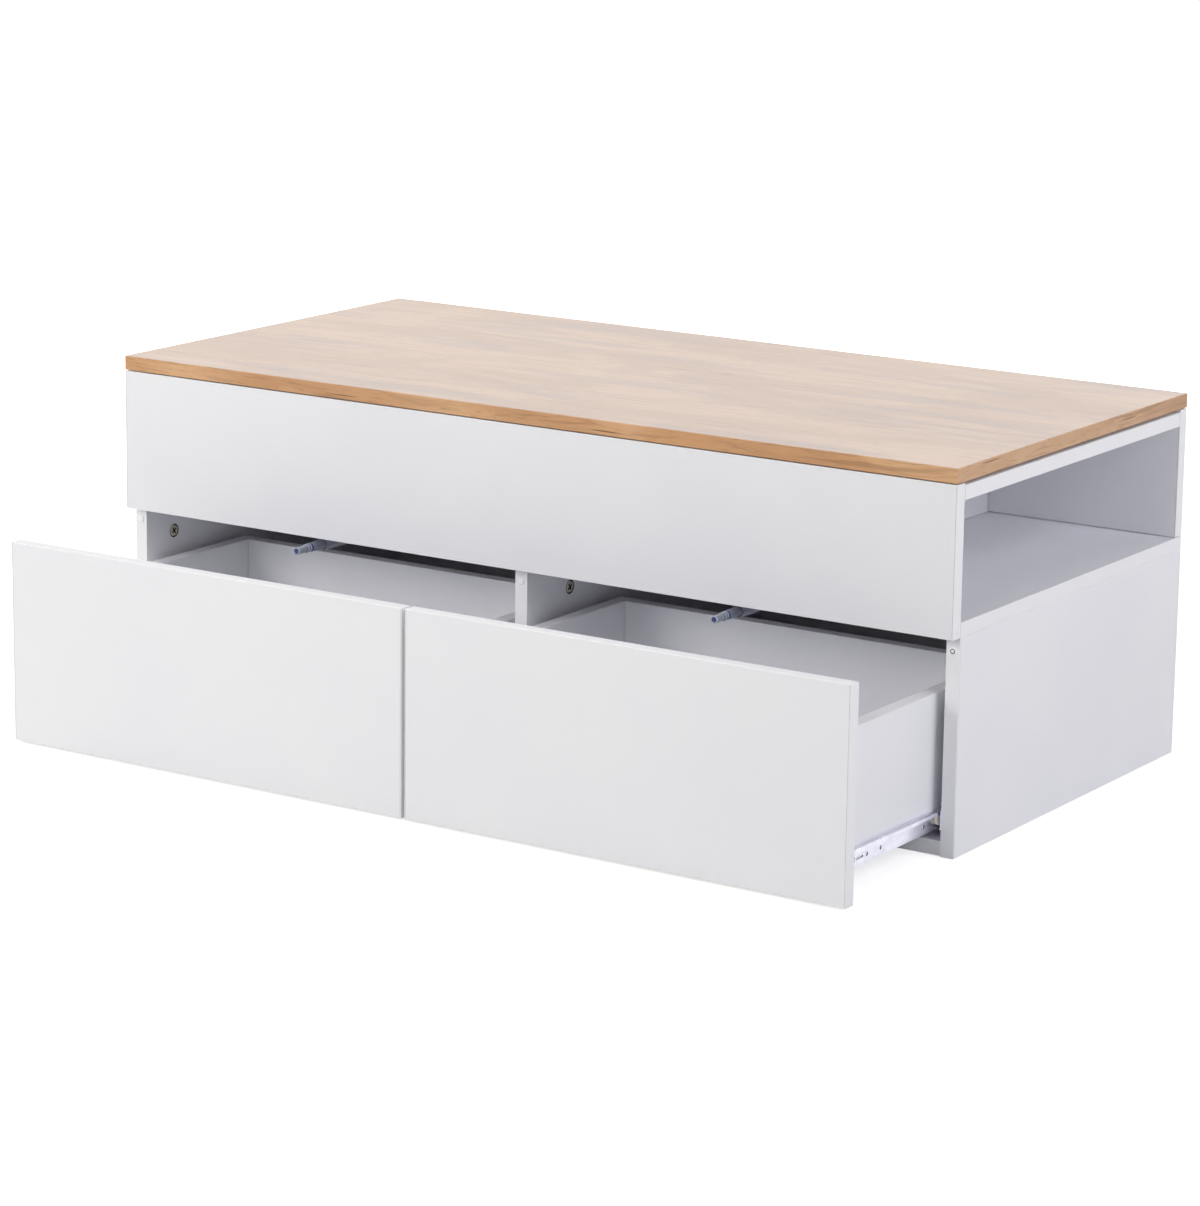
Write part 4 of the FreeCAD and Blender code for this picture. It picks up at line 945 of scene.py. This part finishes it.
class TABLE_OT_screws(bpy.types.Operator):
    """Make every screw"""

    bl_idname = "table.screws"
    bl_label = "Screws"

    def execute(self, context):
        pan = screw_mesh(PAN_HEAD, PAN_REACH, 1.3)
        flush = screw_mesh(FLUSH_HEAD, FLUSH_REACH, 0.9)
        for node, body in (
            ("carcass_screws", "carcass"),
            ("left_drawer_rail_screws", "left_drawer"),
            ("right_drawer_rail_screws", "right_drawer"),
            ("top_screws", "tabletop"),
        ):
            made = bmesh.new()
            for points in solids(node):
                low, high, size, head = measure(points)
                axis = size[:].index(max(size))
                below, above = ends_of(points, axis)
                up = above[1] > below[1]
                head[axis] = high[axis] if up else low[axis]
                pattern = pan if size[axis] > LONG_SCREW * MM else flush
                stamp(made, pattern.data, aim(head, towards(axis, 1.0 if up else -1.0)))
            thing = shape(f"{node}_turned", made, ("screw_plate", "cam_rim"), CREASE)
            seat(thing, body, "screw_steel", node)
        discard(pan, flush)
        return {"FINISHED"}


# Outlines of a bumper as shares of its height and radius. One crown has a ring groove painted dark: painted
# shade that stands for the dark bay seen through the clear gel.
DOME = ((0.0, 0.0), (0.0, 0.97), (0.08, 1.0), (0.4, 0.99), (0.68, 0.9), (0.88, 0.72))
CROWN = ((0.97, 0.45), (1.0, 0.0))
CROWN_RING = ((0.91, 0.66), (0.72, 0.62), (0.72, 0.48), (0.95, 0.44), (1.0, 0.0))


class TABLE_OT_bumpers(bpy.types.Operator):
    """Make the soft clear bumpers"""

    bl_idname = "table.bumpers"
    bl_label = "Bumpers"

    def execute(self, context):
        made = bmesh.new()
        right_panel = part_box("side_panel_right")[0].x
        for points in solids("bumpers"):
            low, high, size, foot = measure(points)
            axis = size[:].index(min(size))
            radius, rise = max(size) / 2, size[axis] - BUMPER_PLAY * MM
            up = axis == 2
            foot[axis] = low[axis] if up else high[axis]
            painted_ring = not up and foot.x > right_panel
            dome = DOME + (CROWN_RING if painted_ring else CROWN)
            turned = lathe([(along * rise, out * radius) for along, out in dome], 28, unit=1.0)
            for face, along, out, _ in turned_faces(turned):
                # Painted shade: the ring on the right panel's bumper is dark.
                if painted_ring and along > rise / 2 and 0.45 < out / radius < 0.65:
                    face.material_index = SHADED_RECESS
            collect(made, placed(turned, foot, (0, 0, 1) if up else (0, -1, 0)))
        thing = shape("bumper_domes", made, ("clear_gel", "gel_ring"), SOFT_CREASE)
        seat(thing, "carcass", "clear_bumper", "bumpers")
        return {"FINISHED"}


# Drawer slides, in millimetres. A sheet's path is (out from its face, up from the floor) and a hole is
# (along the rail, up from the floor, width, height).

CABINET_PATH = [(8.4, 47.3), (8.4, 48.9), (0.6, 48.9), (0.6, 23.1), (8.9, 23.1)]
DRAWER_PATH = [(6.7, 41.2), (6.7, 45.0), (0.5, 45.0), (0.5, 24.5), (-11.9, 24.5)]
CABINET_HOLES = [
    (72, 36, 10, 4.4), (104, 36, 4.4, 4.4), (136, 36, 4.4, 8), (168, 36, 10, 4.4), (206, 36, 4.4, 4.4),
    (292, 36, 10, 4.4), (332, 36, 4.4, 4.4),
]
DRAWER_HOLES = [
    (48, 33, 14, 2.4), (62, 33, 4, 4), (88, 33, 4, 4), (172, 33, 4, 4), (36, 33, 7.2, 7.2),
    (246, 33, 7.2, 7.2),
]
HEAD_PLACES, HEAD_HOLE, RIGHT_BAY_STAGGER = (36, 246), (36, 7.2, 7.2), 16
CABINET_BEND, DRAWER_BEND = 1.6, 2.0
WEB_START = -221
TONGUE_LOW, TONGUE_HIGH, TONGUE_END, TONGUE_CORNER = 26.8, 46.8, -219.8, 2.5
# The rounding of a hole's corners, as a share of half its narrow side, that reads as a half circle.
FULL_ROUND = 1.15
FRONT_AXLE_HEIGHT, FRONT_SHOULDER, FRONT_INSET = 36.8, 4.2, 7.5
REAR_AXLE_HEIGHT, REAR_SHOULDER, REAR_INSET = 31.4, 3.2, 10
JOURNAL = [
    (-0.5, 3.5), (-0.1, 3.1), (-0.1, 2.0), (3.7, 2.0), (3.7, 3.5), (4.0, 3.5), (4.3, 3.0), (4.4, 1.8),
    (4.4, 0.0),
]
ROLLER = [
    (0.0, 2.1), (0.0, 4.2), (0.5, 4.5), (0.5, 6.0), (0.0, 6.3), (0.0, 6.7), (0.3, 7.25), (0.8, 7.45),
    (2.2, 7.5), (3.6, 7.45), (4.1, 7.25), (4.4, 6.7), (4.4, 6.2), (3.9, 5.9), (3.9, 4.9), (4.4, 4.6),
    (4.4, 4.1), (3.6, 4.0), (3.6, 2.1),
]


def rail(node, face, out, path, thickness, holes):
    """A rolled rail on a face, with its holes punched."""
    low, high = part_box(node)
    outline = [(face + out * point.x * MM, point.y * MM) for point in bent_sheet(path, thickness / MM)]
    start = max(low.y, WEB_START * MM) if "bay" in node else low.y
    thing = shape(f"{node}_rolled", prism(outline, start, high.y), ("zinc_rail", "cam_rim"))
    tools = bmesh.new()
    reach = sorted((face + out * 2.4 * MM, face - out * MM))
    # The walls of the holes are painted dark as shade.
    for along, up, wide, tall in holes:
        x, y = wide / 2, tall / 2
        slot = rounded([(-x, -y), (x, -y), (x, y), (-x, y)], min(wide, tall) / 2 * FULL_ROUND, 6, True)
        spots = [(start + (along + point.x) * MM, (up + point.y) * MM) for point in slot]
        collect(tools, paint(prism(spots, *reach, axis=0), SHADED_RECESS))
    carve(thing, tools)
    smooth_over(thing.data, CREASE)
    return thing


def axle_bmesh(spot, out, reach):
    """A riveted axle: shoulder up to the roller, journal through it and round head before it."""
    points = [(0.0, 0.0), (0.0, 3.5)] + [(reach + along, radius) for along, radius in JOURNAL]
    return placed(lathe(points), spot, (out, 0, 0))


def roller_bmesh(spot, out, reach):
    """A moulded roller on its axle: crowned tread, dished face and hub."""
    return placed(lathe(ROLLER, closed=True), spot + Vector((out * reach * MM, 0, 0)), (out, 0, 0))


class TABLE_OT_rails(bpy.types.Operator):
    """Make the rails and rollers of the drawer slides"""

    bl_idname = "table.rails"
    bl_label = "Drawer slides"

    def execute(self, context):
        sizes = context.scene.table_sizes
        for drawer, bay in SIDES:
            stagger = RIGHT_BAY_STAGGER if bay > 0 else 0
            holes = CABINET_HOLES + [(place + stagger, *HEAD_HOLE) for place in HEAD_PLACES]
            wheels = {"front": bmesh.new(), "rear": bmesh.new()}
            for hand, side in SIDES:
                node = f"{drawer}_bay_{hand}_rail"
                low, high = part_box(node)
                wall = high.x if side > 0 else low.x
                path = rounded(CABINET_PATH, CABINET_BEND)
                thing = rail(node, wall, -side, path, sizes.rail_steel, holes)
                spot = Vector((wall, low.y + FRONT_INSET * MM, FRONT_AXLE_HEIGHT * MM))
                front, rear, bottom, top = low.y, TONGUE_END * MM, TONGUE_LOW * MM, TONGUE_HIGH * MM
                outline = [(front, bottom), (front, top), (rear, top), (rear, bottom)]
                sheet = sorted((wall, wall - side * sizes.rail_steel))
                tongue = prism(rounded(outline, TONGUE_CORNER * MM, closed=True), *sheet, axis=0)
                weld(thing, tongue, axle_bmesh(spot, -side, FRONT_SHOULDER))
                seat(thing, "carcass", "slide_steel", node)
                collect(wheels["front"], roller_bmesh(spot, -side, FRONT_SHOULDER))

                node = f"{drawer}_drawer_{hand}_rail"
                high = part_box(node)[1]
                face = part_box(f"{drawer}_drawer_{hand}_side")[side > 0].x
                path = rounded(DRAWER_PATH, DRAWER_BEND)
                thing = rail(node, face, side, path, sizes.slide_steel, DRAWER_HOLES)
                spot = Vector((face, high.y - REAR_INSET * MM, REAR_AXLE_HEIGHT * MM))
                weld(thing, axle_bmesh(spot, side, REAR_SHOULDER))
                seat(thing, f"{drawer}_drawer", "slide_steel", node)
                collect(wheels["rear"], roller_bmesh(spot, side, REAR_SHOULDER))
            for end, made in wheels.items():
                node = f"{drawer}_{end}_rollers"
                thing = shape(f"{node}_moulded", made, ("roller_plastic",), CREASE)
                seat(thing, node, "roller_plastic", node)
        return {"FINISHED"}


# Push latches, with their outlines as (along, radius) in millimetres

PLUNGER_NOSE = [
    (1.0, 0.0), (1.0, 2.2), (0.7, 2.6), (0.15, 2.7), (0.06, 2.9), (0.06, 3.6), (0.3, 3.9), (0.6, 4.0),
    (2.4, 4.0), (2.6, 3.5),
]
PLUNGER_SHAFT = [
    (15.2, 3.5), (15.4, 4.4), (15.8, 4.7), (17.2, 4.7), (17.6, 4.4), (17.7, 3.6), (19.6, 3.6), (19.7, 4.4),
    (20.1, 4.7), (21.4, 4.7), (21.8, 4.4), (21.9, 3.6), (24.0, 3.6), (24.1, 4.6), (24.6, 4.9), (100.0, 4.9),
    (104.3, 5.2), (105.0, 5.0), (105.0, 3.8), (104.7, 3.7), (35.0, 3.7), (35.0, 0.0),
]
HOUSING = [
    (103.0, 0.0), (103.0, 5.5), (0.4, 5.5), (0.0, 5.9), (0.0, 6.5), (0.4, 6.9), (2.6, 7.0), (3.0, 6.8),
    (3.4, 6.8), (3.8, 7.0), (105.5, 7.0), (106.0, 6.6), (106.0, 0.0),
]
RIB_START, RIB_PITCH, RIBS = 3.4, 2.3, 5
NOSE_END, RIBS_END, COLLARS_END, NECK_END, PAINTED_FLUTES = 2.5, 15.3, 21.85, 24.05, 8
HOUSING_RADIUS, FLANGE_TAPER, FLANGE_CORNER, FLANGE_THICKNESS, WEB_HALF = 7, 24, 3, 2, 2.75
PLUNGER_FINISHES = ("plunger_plastic", "plunger_end", "plunger_collar", "plunger_shaft", "plunger_groove")


def plunger_bmesh():
    """A plunger along X from its tip: ribbed nose, two collars and a smooth hollow shaft. Lighter crests are
    painted highlight; the dark valleys, the neck and the flutes are painted shade.
    """
    ribs = []
    for ring in range(RIBS):
        along = RIB_START + ring * RIB_PITCH
        ribs += [(along, 3.5), (along + 0.2, 3.9), (along + 1.2, 3.9), (along + 1.4, 3.5)]
    made = lathe(PLUNGER_NOSE + ribs + PLUNGER_SHAFT)
    for face, along, out, turn in turned_faces(made):
        along, out = along / MM, out / MM
        # The sunken end and the neck go dark blue; on the neck this is painted shade.
        if along < 1.01 and out < 2.75 or COLLARS_END < along < NECK_END:
            face.material_index = DARK_BLUE_END_AND_NECK
        # The nose rim and the collar crests get the painted highlight.
        elif along < NOSE_END or out > 4.0 and along < COLLARS_END:
            face.material_index = CREST_HIGHLIGHT
        elif along > NECK_END:
            # Every other flute is painted dark as shade; the shaft itself is smooth.
            face.material_index = SHAFT if int(turn / pi * PAINTED_FLUTES + PAINTED_FLUTES) % 2 else GROOVE_SHADE
        elif along > RIBS_END or out < 3.6:
            face.material_index = GROOVE_SHADE
    return made


class TABLE_OT_latches(bpy.types.Operator):
    """Make the push latches: housings and sprung plungers"""

    bl_idname = "table.latches"
    bl_label = "Push latches"

    def execute(self, context):
        for drawer, _ in SIDES:
            node = f"{drawer}_latch_plunger"
            low, _, _, centre = measure(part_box(node))
            made = placed(plunger_bmesh(), (centre.x, low.y, centre.z), (0, 1, 0))
            thing = shape(f"{node}_turned", made, PLUNGER_FINISHES, CREASE)
            seat(thing, f"{drawer}_plunger", "latch_zinc", node)

            node = f"{drawer}_latch_housing"
            low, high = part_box(node)
            middle, wide = (low.x + high.x) / 2, (high.x - low.x) / 2
            narrow, taper = HOUSING_RADIUS * MM, low.y + FLANGE_TAPER * MM
            axis_height = low.z + narrow
            made = placed(lathe(HOUSING), (middle, low.y, axis_height), (0, 1, 0))
            rim = [
                (middle - narrow, low.y), (middle + narrow, low.y), (middle + wide, taper),
                (middle + wide, high.y), (middle - wide, high.y), (middle - wide, taper),
            ]
            outline = rounded(rim, FLANGE_CORNER * MM, 6, True)
            flange = prism(outline, high.z - FLANGE_THICKNESS * MM, high.z, axis=2)
            ease_edges(flange, 0.3 * MM)
            collect(made, flange)
            web_low = (middle - WEB_HALF * MM, low.y + 0.5 * MM, axis_height + 6.2 * MM)
            web_high = (middle + WEB_HALF * MM, high.y - 0.5 * MM, high.z - 1.9 * MM)
            collect(made, brick(web_low, web_high))
            thing = shape(f"{node}_moulded", made, ("latch_plastic",), CREASE)
            seat(thing, "carcass", "latch_zinc", node)
        return {"FINISHED"}


# Lift, with the lift springs' sizes in millimetres

LIFT_PIECES = {
    "carcass": ("lift_base_left", "lift_base_right", "base_pins"),
    "front_arms": ("front_arm_left", "front_arm_right", "cross_bar"),
    "rear_arms": ("rear_arm_left", "rear_arm_right"),
    "tabletop": ("top_brackets",),
}
PIVOT, ARM_RISE = Vector((0.0, -150 * MM, 290 * MM)), radians(14)
COIL_START, COIL_LENGTH, COIL_RADIUS, COIL_TURNS, COIL_STEPS = 238, 25, 13, 5.75, 170
FOOT_HEIGHT, LEG_LENGTH, BEND_RADIUS, HOOK_END = 238.3, 45, 5, 270
LATCH_TURNS, LATCH_STEPS = 20, 480


def softened(node, width):
    """A copy of a CAD node's mesh with its sharp edges eased."""
    made = cad_bmesh(node)
    bmesh.ops.dissolve_limit(made, angle_limit=radians(0.5), verts=made.verts[:], edges=made.edges[:])
    sharp = [edge for edge in made.edges if edge.is_manifold and edge.calc_face_angle() > radians(40)]
    bmesh.ops.bevel(
        made, geom=sharp, offset=width, segments=2, profile=0.5, affect="EDGES", clamp_overlap=True
    )
    return made


class TABLE_OT_lift_steel(bpy.types.Operator):
    """Make the brackets, arms, cross bar and pins of the lift"""

    bl_idname = "table.lift_steel"
    bl_label = "Lift steelwork"

    def execute(self, context):
        width = context.scene.table_sizes.steel_round
        for body, nodes in LIFT_PIECES.items():
            for node in nodes:
                pins = node == "base_pins"
                label, slot = ("pin_plate", "pin_steel") if pins else ("lift_paint", "lift_steel")
                seat(shape(f"{node}_pressed", softened(node, width), (label,), CREASE), body, slot, node)
        return {"FINISHED"}


def lift_wire_path(side):
    """The wire of a lift spring: foot on the base, coil round the pivot, leg along the arm, bend and hook."""
    along_arm = Vector((0.0, cos(ARM_RISE), sin(ARM_RISE)))
    turns = COIL_TURNS + ARM_RISE / (2 * pi)
    coil = []
    for step in range(COIL_STEPS + 1):
        turn = turns * step / COIL_STEPS
        across = side * (COIL_START + COIL_LENGTH * turn / turns) * MM
        up, out = COIL_RADIUS * MM * sin(2 * pi * turn), COIL_RADIUS * MM * cos(2 * pi * turn)
        coil.append(PIVOT + Vector((across, out, up)))
    foot = Vector((coil[0].x, coil[0].y, FOOT_HEIGHT * MM))
    leg = [foot.lerp(coil[0], share / 6) for share in range(6)]
    arm_leg = [coil[-1] + along_arm * LEG_LENGTH * MM * share / 6 for share in range(1, 7)]
    bend = []
    for step in range(1, 9):
        swing = pi / 2 * step / 8
        out = Vector((side * BEND_RADIUS * MM * (1 - cos(swing)), 0.0, 0.0))
        bend.append(arm_leg[-1] + along_arm * BEND_RADIUS * MM * sin(swing) + out)
    return leg + coil + arm_leg + bend + [Vector((side * HOOK_END * MM, bend[-1].y, bend[-1].z))]


class TABLE_OT_springs(bpy.types.Operator):
    """Wind the springs of the lift and of the push latches"""

    bl_idname = "table.springs"
    bl_label = "Springs"

    def execute(self, context):
        sizes = context.scene.table_sizes
        for name, side in SIDES:
            made = tube(lift_wire_path(side), sizes.lift_wire / 2)
            thing = shape(f"lift_spring_{name}_wound", made, ("spring_wire",), WIRE_CREASE)
            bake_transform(thing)
            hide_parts(f"lift_spring_{name}")
        for drawer, _ in SIDES:
            node = f"{drawer}_latch_spring"
            low, high, size, centre = measure(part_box(node))
            half = sizes.latch_wire / 2
            radius = size.x / 2 - half
            front, rear = low.y + half, high.y - half
            coil = []
            for step in range(LATCH_STEPS + 1):
                swing = 2 * pi * LATCH_TURNS * step / LATCH_STEPS
                along = front + (rear - front) * step / LATCH_STEPS
                coil.append(Vector((centre.x + radius * cos(swing), along, centre.z + radius * sin(swing))))
            thing = shape(f"{node}_wound", tube(coil, half, 8), ("spring_wire",), WIRE_CREASE)
            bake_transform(thing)
            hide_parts(node)
        return {"FINISHED"}


# Stage, with each lamp's name, place, target and size in metres

WHITE_LIGHT = (1.0, 1.0, 1.0, 1.0)
FLOOR_REACH, FLOOR_DROP = 40.0, 0.5 * MM
# The floor's own light grows between two distances, from one strength to another.
GLOW = (0.6, 3.0, 0.62, 1.0)
FILM_WIDTH = 36.0
LAMPS = (
    ("key", (-1.85, -3.4, 1.7), (0.0, -0.2, 0.2), 1.6),
    ("over", (-2.1, 0.2, 2.9), (-0.1, 0.0, 0.2), 2.4),
    ("fill", (3.2, -0.4, 1.9), (0.3, 0.0, 0.25), 2.1),
    ("front", (0.6, -3.4, 2.3), (0.0, -0.2, 0.2), 1.6),
    ("back", (0.4, 3.6, 1.7), (0.0, 0.1, 0.2), 2.0),
)


def seen_directly(tree):
    """One where the camera, a reflection or clear matter looks at a surface, else zero."""
    rays = add(tree, "LightPath").outputs
    mirrored = maths(tree, "MAXIMUM", rays["Is Glossy Ray"], rays["Is Transmission Ray"])
    return maths(tree, "MAXIMUM", rays["Is Camera Ray"], mirrored)


def floor_material():
    """A pale floor that keeps the table's shadow and reads as white where nothing shades it."""
    made = bpy.data.materials.new("studio_floor")
    tree = fresh_tree(made)
    paper = add(tree, "BsdfDiffuse", {"Color": bpy.context.scene.table_colours.floor})
    place = add(tree, "TexCoord").outputs["Object"]
    away = add(tree, "VectorMath", {0: place}, operation="LENGTH").outputs["Value"]
    glow = maths(tree, "MULTIPLY", seen_directly(tree), ease(tree, away, *GLOW))
    lift = add(tree, "Emission", {"Color": WHITE_LIGHT, "Strength": glow})
    both = add(tree, "AddShader", {0: paper.outputs[0], 1: lift.outputs[0]})
    add(tree, "OutputMaterial", {"Surface": both.outputs[0]})
    return made


def room():
    """Even light on the table, and plain white where the camera or a reflection sees the room."""
    scene = bpy.context.scene
    scene.world = bpy.data.worlds.new("studio_room")
    tree = fresh_tree(scene.world)
    sky = {"Color": scene.table_colours.sky, "Strength": scene.table_stage.sky_power}
    even = add(tree, "Background", sky)
    white = add(tree, "Background", {"Color": WHITE_LIGHT, "Strength": 1.0})
    both = add(tree, "MixShader", {0: seen_directly(tree), 1: even.outputs[0], 2: white.outputs[0]})
    add(tree, "OutputWorld", {"Surface": both.outputs[0]})


def lamp(name, spot, target, size, watts, light_colour):
    """A square soft lamp that looks at a point."""
    light = bpy.data.lights.new(name, "AREA")
    light.shape, light.size, light.energy, light.color = "SQUARE", size, watts, light_colour[:3]
    thing = put(name, light)
    thing.location = spot
    thing.rotation_euler = (Vector(target) - Vector(spot)).to_track_quat("-Z", "Y").to_euler()


class TABLE_OT_stage(bpy.types.Operator):
    """Make the floor, the lights and the camera"""

    bl_idname = "table.stage"
    bl_label = "Stage"

    def execute(self, context):
        scene = context.scene
        settings, paints = scene.table_stage, scene.table_colours
        scene.view_settings.view_transform = "Standard"
        room()
        mesh = bpy.data.meshes.new("studio_floor")
        signs = ((-1, -1), (1, -1), (1, 1), (-1, 1))
        corners = [(x * FLOOR_REACH, y * FLOOR_REACH, -FLOOR_DROP) for x, y in signs]
        mesh.from_pydata(corners, [], [(0, 1, 2, 3)])
        mesh.materials.append(floor_material())
        floor = put("studio_floor", mesh)
        for label, spot, target, size in LAMPS:
            watts = getattr(settings, f"{label}_power")
            lamp(f"{label}_lamp", spot, target, size, watts, getattr(paints, label))

        view = bpy.data.cameras.new("front_right_view")
        view.lens, view.sensor_width, view.sensor_fit = settings.lens, FILM_WIDTH, "HORIZONTAL"
        view.shift_x, view.shift_y = settings.shift
        view.clip_start, view.clip_end = 0.05, 200.0
        target = Vector(settings.target)
        azimuth, height = settings.azimuth, settings.height
        out = Vector((sin(azimuth) * cos(height), -cos(azimuth) * cos(height), sin(height)))
        right = Vector((cos(azimuth), sin(azimuth), 0.0))
        up = out.cross(right)
        turned_right = right * cos(settings.roll) + up * sin(settings.roll)
        turned_up = up * cos(settings.roll) - right * sin(settings.roll)
        axes = Matrix((turned_right, turned_up, out)).transposed().to_4x4()
        scene.camera = put("front_right_view", view)
        scene.camera.matrix_world = Matrix.Translation(target + out * settings.distance) @ axes
        return {"FINISHED"}


# Add-on


SETTINGS = {"table_sizes": TableSizes, "table_colours": TableColours, "table_stage": TableStage}
OPERATORS = (
    TABLE_OT_finishes,
    TABLE_OT_carcass_boards,
    TABLE_OT_drawer_boards,
    TABLE_OT_oak_top,
    TABLE_OT_cam_locks,
    TABLE_OT_screws,
    TABLE_OT_bumpers,
    TABLE_OT_rails,
    TABLE_OT_latches,
    TABLE_OT_lift_steel,
    TABLE_OT_springs,
    TABLE_OT_stage,
)


class TABLE_PT_pieces(bpy.types.Panel):
    """Lists the pieces of the table, their sizes and their colours"""

    bl_idname = "TABLE_PT_pieces"
    bl_label = "Lift-top coffee table"
    bl_space_type = "VIEW_3D"
    bl_region_type = "UI"
    bl_category = "Table"

    def draw(self, context):
        for operator in OPERATORS:
            self.layout.operator(operator.bl_idname)
        for name, group in SETTINGS.items():
            column = self.layout.column()
            for setting in group.__annotations__:
                column.prop(getattr(context.scene, name), setting)


CLASSES = (*SETTINGS.values(), *OPERATORS, TABLE_PT_pieces)


def register():
    """Add the classes and the scene's settings."""
    for thing in CLASSES:
        bpy.utils.register_class(thing)
    for name, group in SETTINGS.items():
        setattr(bpy.types.Scene, name, PointerProperty(type=group))


def unregister():
    """Take the classes and the scene's settings away."""
    for name in SETTINGS:
        delattr(bpy.types.Scene, name)
    for thing in reversed(CLASSES):
        bpy.utils.unregister_class(thing)


def main():
    """Make every piece in order."""
    register()
    for operator in OPERATORS:
        getattr(bpy.ops.table, operator.bl_idname.split(".")[1])()
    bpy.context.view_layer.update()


if __name__ == "__main__":
    main()
